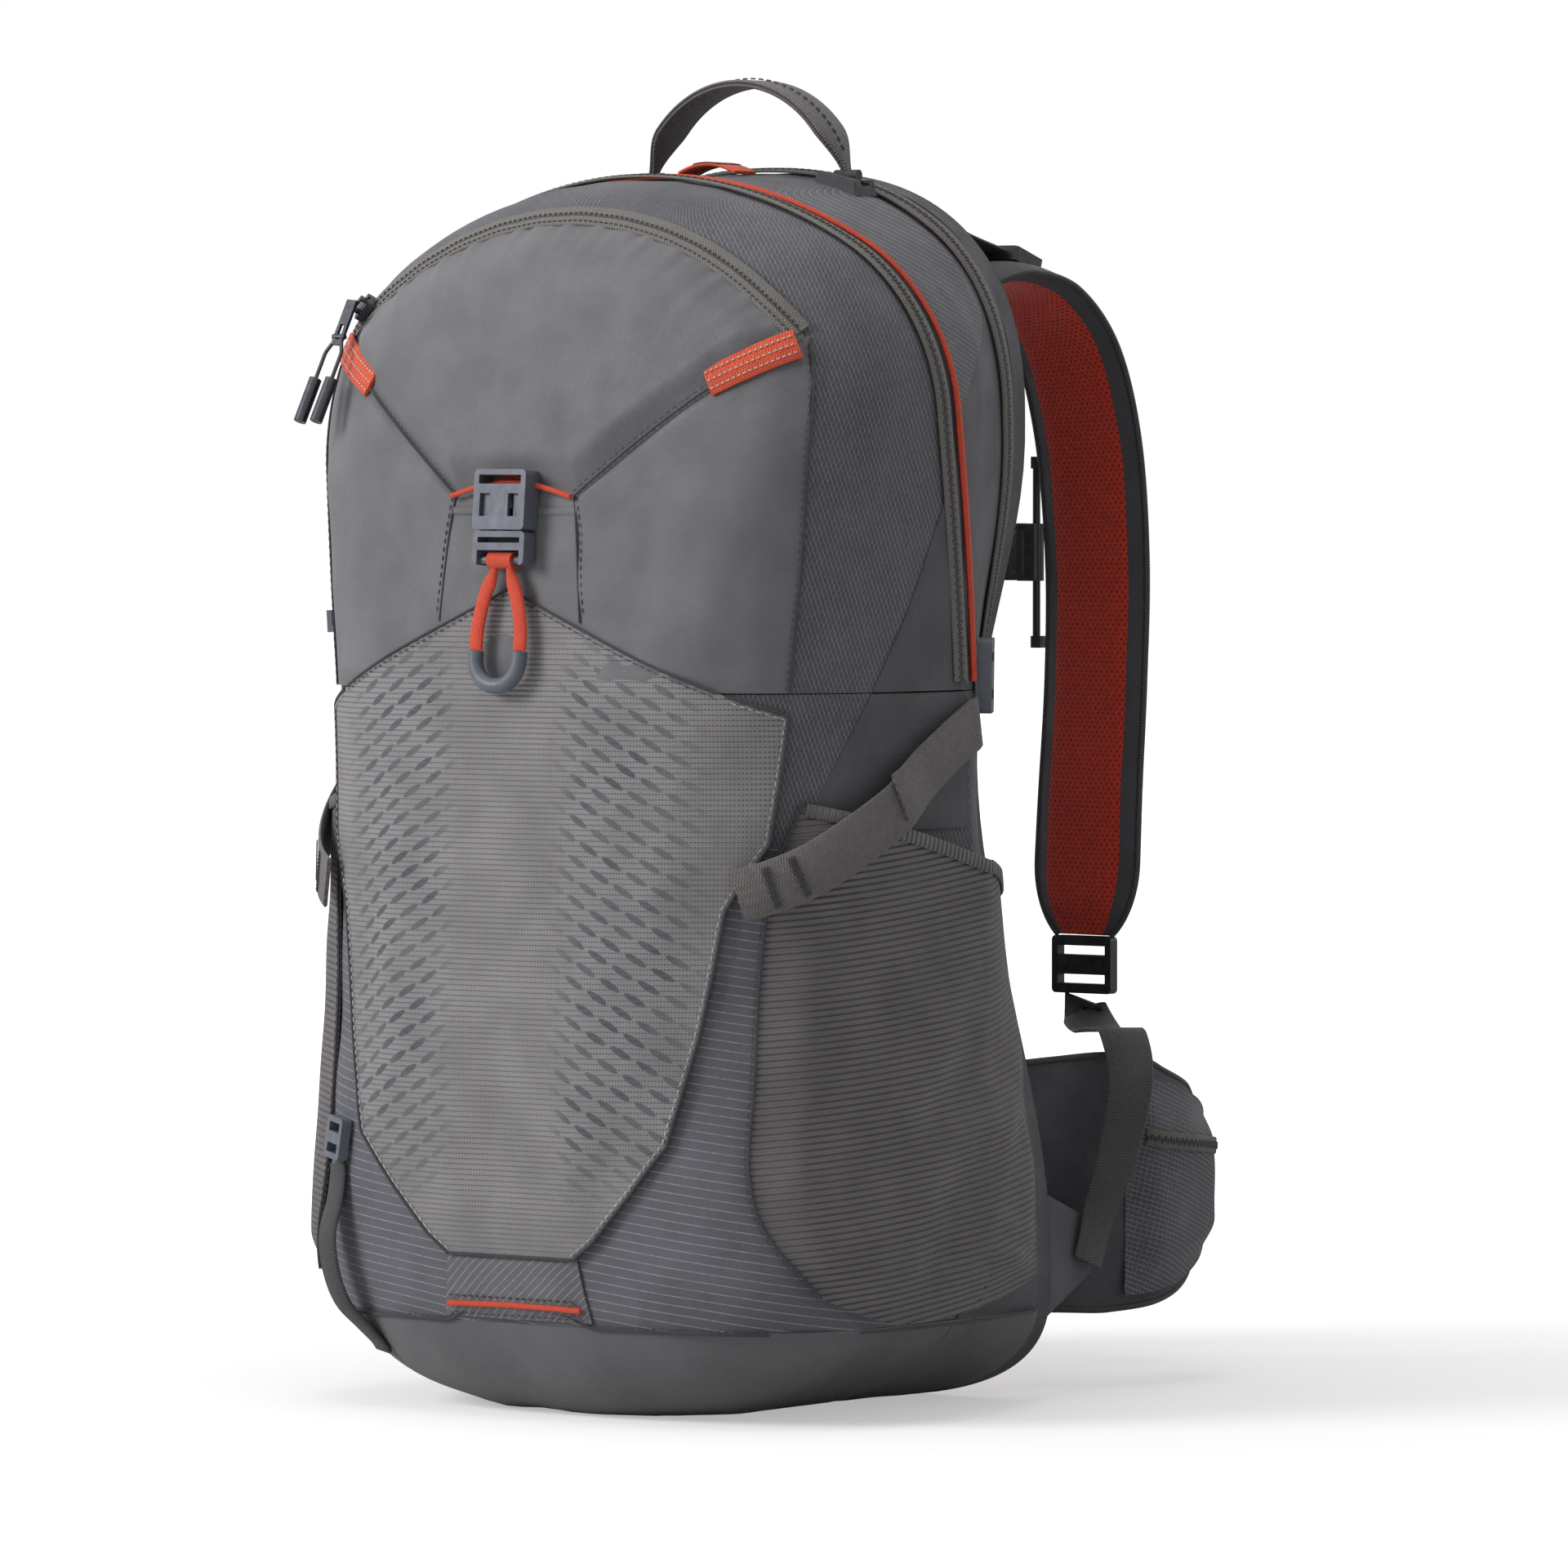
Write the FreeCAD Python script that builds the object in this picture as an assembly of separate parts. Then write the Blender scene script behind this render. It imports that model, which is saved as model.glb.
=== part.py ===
import FreeCAD, Part
import math
import os

V = FreeCAD.Vector

# Frame: +Z up, the pack's front faces -Y, its wearer's side +Y, origin on the floor under the middle.
# Driving dimensions, millimetres and degrees.

# Outline of the body in the plane of the main zip
half_width = 138.0
waist_dip = 3.0
waist_z = 270.0
waist_spread = 70.0
top_z = 495.0
corner_radius = 75.0
corner_turn = 60.0
bottom_round_z = 78.0
bottom_power = 2.5
base_sink = 3.0

# Plane of the main zip: upright at first, then leaning forward
zip_y = 26.0
zip_bend_z = 285.0
zip_bend_soft = 18.0
zip_lean = 0.15

# Front dome
front_y = -100.0
dome_z = 210.0
dome_power_bottom = 6.0
dome_power_side = 2.9
dome_power_top = 3.1

# Outline of the back, where the wearer's back lies
back_y = 95.0
back_half_low = 125.0
back_half_waist = 88.0
back_half_high = 112.0
back_low_z = 60.0
back_waist_z = 262.0
back_high_z = 392.0
back_round_z = 50.0
back_shoulder_z = 400.0
back_top_z = 500.0
back_bottom_power = 2.8
back_top_power = 2.35

# Layers
skin_depth = 9.7
layer_gap = 0.3
wall = 2.5
seat = 0.5
base_height = 38.0
hinge_z = 290.5
split_gap = 0.5
back_panel_y = 84.5

# Webbing, cords and buckles
webbing = 1.8
strap_width = 22.0
narrow_width = 15.0
cord_r = 1.5
run_clear = 0.4


def smooth(u):
    u = min(max(u, 0.0), 1.0)
    return u * u * (3.0 - 2.0 * u)


# The body's surface

top_centre_x = half_width - corner_radius
top_turn = math.radians(corner_turn)
top_radius = top_centre_x / math.cos(top_turn) + corner_radius
corner_z = top_z - top_radius + (top_radius - corner_radius) * math.sin(top_turn)
top_centre_z = top_z - top_radius


def zip_plane_y(z):
    lean = zip_bend_soft * math.log1p(math.exp((z - zip_bend_z) / zip_bend_soft))
    return zip_y - zip_lean * lean


def rim_half(z):
    return half_width - waist_dip * math.exp(-((z - waist_z) / waist_spread) ** 2)


def back_half(z):
    if z < back_waist_z:
        share = smooth((z - back_low_z) / (back_waist_z - back_low_z))
        return back_half_low + (back_half_waist - back_half_low) * share
    share = smooth((z - back_waist_z) / (back_high_z - back_waist_z))
    return back_half_waist + (back_half_high - back_half_waist) * share


# A ring's station runs from 0 at the bottom centre, by 1 and 2 at the ends of the side, to 3 at the top.

def rim_point(station, grow):
    if station < 1.0:
        turn = station * math.pi / 2
        drop = bottom_round_z + base_sink + grow
        z = bottom_round_z - drop * abs(math.cos(turn)) ** (2 / bottom_power)
        return (rim_half(z) + grow) * math.sin(turn) ** (2 / bottom_power), z
    if station < 2.0:
        z = bottom_round_z + (corner_z - bottom_round_z) * (station - 1.0)
        return rim_half(z) + grow, z
    if station < 2.5:
        turn = top_turn * (station - 2.0) * 2
        x = rim_half(corner_z) - corner_radius + (corner_radius + grow) * math.cos(turn)
        return x, corner_z + (corner_radius + grow) * math.sin(turn)
    turn = top_turn + (math.pi / 2 - top_turn) * (station - 2.5) * 2
    return (top_radius + grow) * math.cos(turn), top_centre_z + (top_radius + grow) * math.sin(turn)


def back_point(station, grow):
    if station < 1.0:
        turn = station * math.pi / 2
        drop = back_round_z + base_sink + grow
        z = back_round_z - drop * abs(math.cos(turn)) ** (2 / back_bottom_power)
        return (back_half(z) + grow) * math.sin(turn) ** (2 / back_bottom_power), z
    if station < 2.0:
        z = back_round_z + (back_shoulder_z - back_round_z) * (station - 1.0)
        return back_half(z) + grow, z
    turn = min(station - 2.0, 1.0) * math.pi / 2
    rise = back_top_z + grow - back_shoulder_z
    z = back_shoulder_z + rise * math.sin(turn) ** (2 / back_top_power)
    return (back_half(z) + grow) * abs(math.cos(turn)) ** (2 / back_top_power), z


def dome_power(station):
    if station < 1.3:
        return dome_power_bottom + (dome_power_side - dome_power_bottom) * smooth(station / 1.3)
    if station < 2.0:
        return dome_power_side
    return dome_power_side + (dome_power_top - dome_power_side) * smooth(station - 2.0)


def dome_point(station, reach, grow):
    """A point of the front dome: reach 0 is its middle and 1 the plane of the main zip."""
    rim_x, rim_z = rim_point(station, grow)
    power = dome_power(station)
    across = math.sin(reach * math.pi / 2) ** (2 / power)
    ahead = abs(math.cos(reach * math.pi / 2)) ** (2 / power)
    plane = zip_plane_y(rim_z)
    y = plane + (front_y - grow - plane) * ahead
    return V(rim_x * across, y, dome_z + (rim_z - dome_z) * across)


def rear_point(station, reach, grow):
    """A point behind the main zip: reach 0 is the zip's plane and 1 the edge of the back."""
    rim_x, rim_z = rim_point(station, grow)
    back_x, back_z = back_point(station, grow)
    share = 0.5 * (smooth(reach) + reach)
    plane = zip_plane_y(rim_z)
    y = plane + (back_y + grow - plane) * reach
    return V(rim_x + (back_x - rim_x) * share, y, rim_z + (back_z - rim_z) * share)


def dome_y(x, z, grow=0.0):
    """The front dome's Y over a place in its XZ view."""
    want = math.atan2(z - dome_z, abs(x))
    low, high = 0.0, 3.0
    for _ in range(40):
        middle = (low + high) / 2
        rim_x, rim_z = rim_point(middle, grow)
        if math.atan2(rim_z - dome_z, rim_x) < want:
            low = middle
        else:
            high = middle
    rim_x, rim_z = rim_point(low, grow)
    power = dome_power(low)
    across = min(math.hypot(x, z - dome_z) / math.hypot(rim_x, rim_z - dome_z), 0.9999)
    ahead = math.cos(math.asin(across ** (power / 2))) ** (2 / power)
    plane = zip_plane_y(rim_z)
    return plane + (front_y - grow - plane) * ahead


def on_front(x, z):
    """Point and outward normal of the dome over a place in its XZ view."""
    step = 0.5
    slope_x = (dome_y(x + step, z) - dome_y(x - step, z)) / (2 * step)
    slope_z = (dome_y(x, z + step) - dome_y(x, z - step)) / (2 * step)
    return V(x, dome_y(x, z), z), V(slope_x, -1.0, slope_z).normalize()


def side_x(y, z):
    """The flank's X over a place in its YZ view, on the right side."""
    plane = zip_plane_y(z)
    side_height = corner_z - bottom_round_z
    if y >= plane:
        reach = min((y - plane) / (back_y - plane), 1.0)
        share = 0.5 * (smooth(reach) + reach)
        low_z = bottom_round_z + (back_round_z - bottom_round_z) * share
        high_z = corner_z + (back_shoulder_z - corner_z) * share
        station = 1.0 + (z - low_z) / (high_z - low_z)
        rim_x, _ = rim_point(station, 0.0)
        back_x, _ = back_point(station, 0.0)
        return rim_x + (back_x - rim_x) * share
    across = 1.0
    rim_z = z
    for _ in range(6):
        station = min(max(1.0 + (rim_z - bottom_round_z) / side_height, 0.6), 2.0)
        power = dome_power(station)
        ahead = (y - plane) / (front_y - plane)
        across = math.sin(math.acos(ahead ** (power / 2))) ** (2 / power)
        rim_z = dome_z + (z - dome_z) / across
    return rim_half(rim_z) * across


def on_side(y, z, side):
    """Point and outward normal of a flank; side is 1 on the right and -1 on the left."""
    step = 0.5
    slope_y = (side_x(y + step, z) - side_x(y - step, z)) / (2 * step)
    slope_z = (side_x(y, z + step) - side_x(y, z - step)) / (2 * step)
    return V(side * side_x(y, z), y, z), V(side, -slope_y, -slope_z).normalize()


# Solids from the surface

stations = [0.0, 0.12, 0.25, 0.4, 0.55, 0.7, 0.85, 1.0, 1.25, 1.5, 1.75, 2.0, 2.17, 2.33, 2.5, 2.67, 2.83, 3.0]
dome_reaches = [0.12, 0.25, 0.4, 0.55, 0.7, 0.82, 0.91, 0.965, 1.0]
rear_reaches = [0.08, 0.25, 0.5, 0.75, 1.0]


def ring(point_at):
    """A closed smooth wire through the right half's points and their mirror images."""
    right = [point_at(station) for station in stations]
    left = [V(-p.x, p.y, p.z) for p in reversed(right[1:-1])]
    return right + left


def ring_curve(points, knots):
    curve = Part.BSplineCurve()
    curve.interpolate(Points=points, Parameters=knots, PeriodicFlag=True)
    return curve


def skin_face(rings, knots, along):
    """One smooth face through the rings, each ring at its place in along."""
    curves = [ring_curve(points, knots) for points in rings]
    columns = []
    for poles in zip(*[curve.getPoles() for curve in curves]):
        column = Part.BSplineCurve()
        column.interpolate(Points=list(poles), Parameters=along)
        columns.append(column)
    surface = Part.BSplineSurface()
    surface.buildFromPolesMultsKnots(
        [column.getPoles() for column in columns],
        curves[0].getMultiplicities(), columns[0].getMultiplicities(),
        curves[0].getKnots(), columns[0].getKnots(),
        True, False, curves[0].Degree, columns[0].Degree)
    return surface


def body_solid(grow):
    """The pack's outer form, moved outward by grow, or inward where it is negative."""
    rings = []
    for index, reach in enumerate(dome_reaches):
        points = ring(lambda station: dome_point(station, reach, grow))
        if index == 0:
            flat = sum(p.y for p in points) / len(points)
            points = [V(p.x, flat, p.z) for p in points]
        rings.append(points)
    for reach in rear_reaches:
        rings.append(ring(lambda station: rear_point(station, reach, grow)))
    knots = [0.0]
    widest = rings[len(dome_reaches) - 1]
    for here, there in zip(widest, widest[1:] + widest[:1]):
        knots.append(knots[-1] + here.distanceToPoint(there))
    along = [0.0]
    for here, there in zip(rings, rings[1:]):
        steps = [p.distanceToPoint(q) for p, q in zip(here, there)]
        along.append(along[-1] + sum(steps) / len(steps))
    surface = skin_face(rings, knots, along)
    caps = [Part.Face(Part.Wire([surface.vIso(place).toShape()])) for place in (along[0], along[-1])]
    shell = Part.makeShell([surface.toShape()] + caps)
    shell.sewShape()
    solid = Part.makeSolid(shell)
    if solid.Volume < 0:
        solid.reverse()
    return solid


def prism(points, direction):
    """A flat polygon pushed along a direction."""
    face = Part.Face(Part.makePolygon(points + points[:1]))
    return face.extrude(direction)


def block(x0, x1, y0, y1, z0, z1):
    return Part.makeBox(x1 - x0, y1 - y0, z1 - z0, V(x0, y0, z0))


def mirrored(shape):
    return shape.mirror(V(0, 0, 0), V(1, 0, 0))


def strip(frames):
    """A flat band through frames of middle point, full width vector and full thickness vector."""
    sections = []
    for point, width, thickness in frames:
        corners = [point - width / 2, point + width / 2]
        corners += [point + width / 2 + thickness, point - width / 2 + thickness]
        sections.append(Part.makePolygon(corners + corners[:1]))
    solid = Part.makeLoft(sections, True, True)
    if solid.Volume < 0:
        solid.reverse()
    return solid


def strip_on(points, width, thickness, lift=seat):
    """A band that lies on the body through (point, normal) pairs, lifted off it by lift."""
    frames = []
    for index, (point, normal) in enumerate(points):
        before = points[max(index - 1, 0)][0]
        after = points[min(index + 1, len(points) - 1)][0]
        along = (after - before).normalize()
        across = normal.cross(along).normalize()
        face = along.cross(across).normalize()
        frames.append((point + face * lift, across * width, face * thickness))
    return strip(frames)


def band(points, across, widths, thickness):
    """A band through middle points whose width runs along one direction; its face turns with the path."""
    frames = []
    for index, point in enumerate(points):
        before = points[max(index - 1, 0)]
        after = points[min(index + 1, len(points) - 1)]
        along = (after - before).normalize()
        face = along.cross(across).normalize()
        width = widths[index] if isinstance(widths, list) else widths
        frames.append((point - face * (thickness / 2), across * width, face * thickness))
    return strip(frames)


def rod(start, end, radius):
    run = end - start
    return Part.makeCylinder(radius, run.Length, start, run)


def rounded_tube(points, radius, bends):
    """A round tube along straight runs with an arc of the given radius at each inner point."""
    edges = []
    start = points[0]
    for before, corner, after, bend in zip(points, points[1:], points[2:], bends):
        toward = (before - corner).normalize()
        away = (after - corner).normalize()
        half_turn = (math.pi - toward.getAngle(away)) / 2
        reach = bend * math.tan(half_turn)
        first = corner + toward * reach
        last = corner + away * reach
        middle_way = (toward + away).normalize()
        centre = corner + middle_way * (bend / math.cos(half_turn))
        middle = centre - middle_way * bend
        edges.append(Part.LineSegment(start, first).toShape())
        edges.append(Part.Arc(first, middle, last).toShape())
        start = last
    edges.append(Part.LineSegment(start, points[-1]).toShape())
    path = Part.Wire(edges)
    circle = Part.makeCircle(radius, points[0], points[1] - points[0])
    return path.makePipeShell([Part.Wire([circle])], True, False, 2)


def placed(shape, origin, x_axis, z_axis):
    """A shape drawn at the origin, set at a point with its X and Z along given directions."""
    z_dir = V(z_axis).normalize()
    y_dir = z_dir.cross(V(x_axis)).normalize()
    x_dir = y_dir.cross(z_dir)
    matrix = FreeCAD.Matrix(
        x_dir.x, y_dir.x, z_dir.x, origin.x,
        x_dir.y, y_dir.y, z_dir.y, origin.y,
        x_dir.z, y_dir.z, z_dir.z, origin.z,
        0, 0, 0, 1)
    moved = shape.copy()
    moved.Placement = FreeCAD.Placement(matrix)
    return moved


# Regions of the outer layer

mesh_shoulder_x = 113.0
mesh_shoulder_z = 282.0
mesh_apex_z = 331.0
mesh_side = [(111.0, 231.0), (94.0, 205.0), (87.0, 155.0), (77.0, 112.0), (60.0, 92.0)]
mesh_foot_x = 30.0
mesh_foot_z = 65.0
patch_x = 34.0
top_zip_end_x = 115.0
top_zip_end_z = 430.0
top_zip_apex_z = 479.0
tab_inner_x = 85.0
tab_inner_z = 410.0
slit_x = 30.0
slit_z = 368.0
pocket_hem = [(-62.0, 247.0), (36.0, 219.0), (80.0, 206.0)]
pocket_back_y = 80.0
pocket_back_z = 52.0
pocket_low = [(-11.0, 40.0), (-36.0, 42.0), (-63.0, 52.0)]
pocket_front = [(-82.0, 95.0), (-78.0, 138.0), (-72.0, 213.0)]
pocket_border = 7.0
far = 400.0

top_zip_rise = top_zip_apex_z - top_zip_end_z
top_zip_radius = (top_zip_end_x ** 2 + top_zip_rise ** 2) / (2 * top_zip_rise)
top_zip_centre_z = top_zip_apex_z - top_zip_radius
top_zip_half_turn = math.degrees(math.asin(top_zip_end_x / top_zip_radius))


def front_prism(outline):
    """Everything in front of the middle of the pack that shows within an outline in XZ."""
    return prism([V(x, front_y - 60.0, z) for x, z in outline], V(0, 60.0 - front_y, 0))


def both_sides(points):
    """An outline from the right half's points, top first, closed by their mirror images."""
    return points + [(-x, z) for x, z in reversed(points) if x > 0]


def mesh_outline(border=0.0, top=0.0):
    points = [(mesh_shoulder_x - border, hinge_z + top)]
    points.append((mesh_shoulder_x - border, mesh_shoulder_z))
    points += [(x - border, z) for x, z in mesh_side]
    points.append((mesh_foot_x, mesh_foot_z + border))
    return both_sides(points)


def flap_outline():
    slope = mesh_shoulder_x / (mesh_apex_z - mesh_shoulder_z)
    return [(-slope * (mesh_apex_z - hinge_z), hinge_z),
            (slope * (mesh_apex_z - hinge_z), hinge_z), (0.0, mesh_apex_z)]


def top_arc(radius, steps=12):
    points = []
    for index in range(steps + 1):
        turn = math.radians(top_zip_half_turn * (1 - 2 * index / steps))
        points.append((radius * math.sin(turn), top_zip_centre_z + radius * math.cos(turn)))
    return points


def top_pocket_outline():
    low = [(-tab_inner_x, tab_inner_z), (-slit_x, slit_z), (slit_x, slit_z), (tab_inner_x, tab_inner_z)]
    return top_arc(top_zip_radius) + low


def side_prism(outline):
    return prism([V(20.0, y, z) for y, z in outline], V(far, 0, 0))


def pocket_outline(border=0.0, top=0.0):
    points = [(y, z + top) for y, z in pocket_hem]
    points.append((pocket_back_y - border, pocket_back_z + border))
    points += [(y, z + border) for y, z in pocket_low]
    points += [(y + border, z) for y, z in pocket_front]
    return points


def ahead_of_zip(shift):
    """Everything above the hinge line and in front of the main zip's plane."""
    heights = [hinge_z + split_gap / 2, 320.0, 360.0, 420.0, 470.0, top_z + 60.0]
    if shift > 0:
        heights[0] = hinge_z - split_gap / 2
    edge = [V(-far, zip_plane_y(z) + shift, z) for z in heights]
    front = [V(-far, front_y - 60.0, heights[-1]), V(-far, front_y - 60.0, heights[0])]
    return prism(edge + front, V(2 * far, 0, 0))


# The shells and the panels sewn over them

print("surfaces")
outer = body_solid(0.0).common(block(-far, far, -far, far, 0.0, far * 2))
outer_lining = body_solid(-wall)
layer = outer.cut(body_solid(-skin_depth))
core_outer = body_solid(-skin_depth - layer_gap)
core = core_outer.cut(body_solid(-skin_depth - layer_gap - wall))
panel_space = ahead_of_zip(-split_gap / 2)
root_space = ahead_of_zip(split_gap / 2)

parts = {}
parts["main_compartment"] = core.cut(root_space)
parts["front_panel"] = core.common(panel_space)

below_hinge = block(-far, far, -far, far, base_height, hinge_z - split_gap / 2)
behind = block(-far, far, back_panel_y, far, base_height, top_z + 60.0)
parts["base_panel"] = layer.common(block(-far, far, -far, far, -1.0, base_height))
parts["back_panel"] = layer.common(behind)
low_layer = layer.common(below_hinge).cut(behind)
high_layer = layer.cut(block(-far, far, -far, far, -1.0, hinge_z - split_gap / 2)).cut(behind)

mesh_space = front_prism(mesh_outline())
stash = low_layer.common(mesh_space)
parts["stash_pocket"] = stash.cut(outer_lining.common(front_prism(mesh_outline(pocket_border, 20.0))))

pocket_space = side_prism(pocket_outline())
for side, name in ((1, "right"), (-1, "left")):
    space = pocket_space if side > 0 else mirrored(pocket_space)
    inside = side_prism(pocket_outline(pocket_border, 20.0))
    inside = inside if side > 0 else mirrored(inside)
    pocket = low_layer.common(space).cut(mesh_space)
    parts["side_pocket_" + name] = pocket.cut(outer_lining.common(inside))

patch_space = block(-patch_x, patch_x, front_y - 10.0, 0.0, base_height, mesh_foot_z)
parts["gear_patch"] = low_layer.common(patch_space).cut(mesh_space)
parts["lower_panel"] = low_layer.cut(mesh_space).cut(patch_space).cut(pocket_space).cut(mirrored(pocket_space))
parts["top_gusset"] = high_layer.cut(root_space)

front_layer = high_layer.common(panel_space)
top_space = front_prism(top_pocket_outline())
flap_space = front_prism(flap_outline())
inner_top = top_arc(top_zip_radius + 20.0) + [
    (-tab_inner_x - 5.0, tab_inner_z + 12.0), (-slit_x, slit_z + pocket_border),
    (slit_x, slit_z + pocket_border), (tab_inner_x + 5.0, tab_inner_z + 12.0)]
top_layer = front_layer.common(top_space)
parts["top_pocket"] = top_layer.cut(outer_lining.common(front_prism(inner_top)))
parts["stash_flap"] = front_layer.common(flap_space)
parts["front_skin"] = front_layer.cut(top_space).cut(flap_space)


# Paths along the body

def pair_at(point_at, station, reach):
    """Point and outward normal of a surface given by station and reach."""
    step = 0.004
    along = point_at(station + step, reach, 0.0) - point_at(station - step, reach, 0.0)
    if reach > 1.0 - step:
        back = point_at(station, reach, 0.0) - point_at(station, reach - step, 0.0)
    else:
        back = point_at(station, reach + step, 0.0) - point_at(station, reach, 0.0)
    point = point_at(station, reach, 0.0)
    normal = along.cross(back).normalize()
    if normal.dot(point - V(0, 0, dome_z)) < 0:
        normal = normal * -1.0
    return point, normal


def ahead_reach(station, distance):
    """The dome's reach for a distance in front of the main zip's plane."""
    plane = zip_plane_y(rim_point(station, 0.0)[1])
    ahead = distance / (plane - front_y)
    return math.acos(ahead ** (dome_power(station) / 2)) * 2 / math.pi


def side_station(z):
    return 1.0 + (z - bottom_round_z) / (corner_z - bottom_round_z)


def arch(pair_of, start, steps=30):
    """Pairs from the right side's start station over the top to the left side's."""
    right = [pair_of(start + (2.999 - start) * index / steps) for index in range(steps + 1)]
    left = [(V(-p.x, p.y, p.z), V(-n.x, n.y, n.z)) for p, n in reversed(right)]
    return right + left


def top_pair(x, reach):
    """Point and normal of the top behind the main zip, over a place in X."""
    low, high = 2.0, 2.9999
    for _ in range(40):
        middle = (low + high) / 2
        if rear_point(middle, reach, 0.0).x > abs(x):
            low = middle
        else:
            high = middle
    point, normal = pair_at(rear_point, min(low, 2.995), reach)
    sign = 1 if x >= 0 else -1
    return V(x, point.y, point.z), V(sign * normal.x, normal.y, normal.z)


# Zips

piping_size = 3.0
piping_back = 3.5
main_tape = 8.0
main_tape_ahead = 6.5
main_zip_low_z = hinge_z + 4.0
tape_thick = 1.5
main_tape_lift = 1.3
piping_lift = 1.0
rear_tape_lift = 0.9
rear_zip_reach = 0.76
rear_tape = 12.0
rear_zip_low_z = 305.0
top_tape = 10.0
top_tape_trim = 4.0


def piping_pair(station):
    plane = zip_plane_y(rim_point(station, 0.0)[1])
    return pair_at(rear_point, station, piping_back / (back_y - plane))


def main_tape_pair(station):
    return pair_at(dome_point, station, ahead_reach(station, main_tape_ahead))


def rear_tape_pair(station):
    return pair_at(rear_point, station, rear_zip_reach)


def top_zip_pair(turn):
    """The top pocket's zip at an angle from the middle, positive to the right."""
    angle = math.radians(turn)
    return on_front(top_zip_radius * math.sin(angle), top_zip_centre_z + top_zip_radius * math.cos(angle))


parts["main_zip_piping"] = strip_on(
    arch(piping_pair, side_station(main_zip_low_z)), piping_size, piping_size, piping_lift)
main_zip_strip = strip_on(
    arch(main_tape_pair, side_station(main_zip_low_z)), main_tape, tape_thick, main_tape_lift)
parts["main_zip_tape"] = main_zip_strip.cut(body_solid(layer_gap / 2))
parts["rear_zip_tape"] = strip_on(
    arch(rear_tape_pair, side_station(rear_zip_low_z)), rear_tape, tape_thick, rear_tape_lift)

top_turns = top_zip_half_turn - top_tape_trim
parts["top_pocket_zip"] = strip_on(
    [top_zip_pair(top_turns * (index / 16 - 1)) for index in range(33)], top_tape, tape_thick)


def tab(side):
    inner = (tab_inner_x, tab_inner_z + 3.0)
    outer = (top_zip_end_x - 3.0, top_zip_end_z - 3.0)
    pairs = []
    for index in range(6):
        share = index / 5
        x = inner[0] + (outer[0] - inner[0]) * share
        pairs.append(on_front(side * x, inner[1] + (outer[1] - inner[1]) * share))
    return strip_on(pairs, tab_width, webbing)


tab_width = 12.0
parts["corner_tabs"] = Part.makeCompound([tab(1), tab(-1)])


# Sliders and their pulls

slider_length = 10.0
slider_width = 7.5
slider_height = 3.4
pull_length = 30.0
pull_width = 5.0
pull_thick = 1.5
slider_clear = 0.6
crown_rise = 3.8
upper_slider_z = 372.0
lower_slider_z = 330.0
rear_slider_z = 362.0
top_slider_turn = -40.0


def slider_body():
    """A zip slider along Z with its underside on Y = 0, its crown and its loop for a pull."""
    body = block(-slider_width / 2, slider_width / 2, 0.0, slider_height, -slider_length / 2, slider_length / 2)
    body = body.makeFillet(1.0, [edge for edge in body.Edges if abs(edge.tangentAt(edge.FirstParameter).y) > 0.9])
    groove = block(-0.8, 0.8, slider_height - 1.0, slider_height + 1.0, -slider_length, slider_length)
    crown = block(-1.2, 1.2, slider_height - 1.2, slider_height + 2.6, -3.6, 3.6)
    eye = block(-2.0, 2.0, slider_height + 0.1, slider_height + 1.6, -2.4, 2.4)
    return body.cut(groove).fuse(crown).cut(eye)


def pull_tab(length):
    """A flat pull that hangs from the slider's loop along -Z."""
    top = 1.2
    plate = block(-pull_width / 2, pull_width / 2, slider_height + 0.1, slider_height + 1.6, -length, -3.9)
    window = block(-pull_width / 2 + 1.3, pull_width / 2 - 1.3, 0.0, 20.0, -length + 3.0, -10.0)
    arms = block(-pull_width / 2, pull_width / 2, slider_height + 0.1, slider_height + 1.6, -4.0, top)
    gap = block(-1.5, 1.5, 0.0, 20.0, -4.5, top - 1.0)
    return plate.cut(window).fuse(arms.cut(gap))


def on_pair(shape, pair, up, lift):
    """A shape drawn on Y = 0 with Z along the path, set on a surface pair."""
    point, normal = pair
    along = up - normal * up.dot(normal)
    x_axis = normal.cross(along.normalize())
    return placed(shape, point + normal * lift, x_axis, along)


def left_pair(pair):
    point, normal = pair
    return V(-point.x, point.y, point.z), V(-normal.x, normal.y, normal.z)


def zip_slider(pair, up, tape_lift):
    whole = slider_body().fuse(pull_tab(pull_length))
    return on_pair(whole, pair, up, tape_lift + tape_thick + slider_clear)


def rear_zip_pair(z):
    low, high = 1.0, 2.4
    for _ in range(40):
        middle = (low + high) / 2
        if rear_point(middle, rear_zip_reach, 0.0).z < z:
            low = middle
        else:
            high = middle
    return rear_tape_pair(low)


def main_zip_slider(z):
    return zip_slider(left_pair(main_tape_pair(side_station(z))), V(0, 0, 1), main_tape_lift)


parts["main_zip_slider_upper"] = main_zip_slider(upper_slider_z)
parts["main_zip_slider_lower"] = main_zip_slider(lower_slider_z)
parts["rear_zip_slider"] = zip_slider(left_pair(rear_zip_pair(rear_slider_z)), V(0, 0, 1), rear_tape_lift)

top_pair_rest = top_zip_pair(top_slider_turn)
top_tangent = V(math.cos(math.radians(top_slider_turn)), 0, -math.sin(math.radians(top_slider_turn)))
top_slider_lift = seat + tape_thick + slider_clear
parts["top_zip_slider"] = on_pair(slider_body(), top_pair_rest, top_tangent, top_slider_lift)

top_pull_drop = 20.0
top_pull_lean = 7.5
cord_run = 21.0
cord_spread = 3.2
cord_end_length = 17.0
cord_end_r = 2.6


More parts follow.
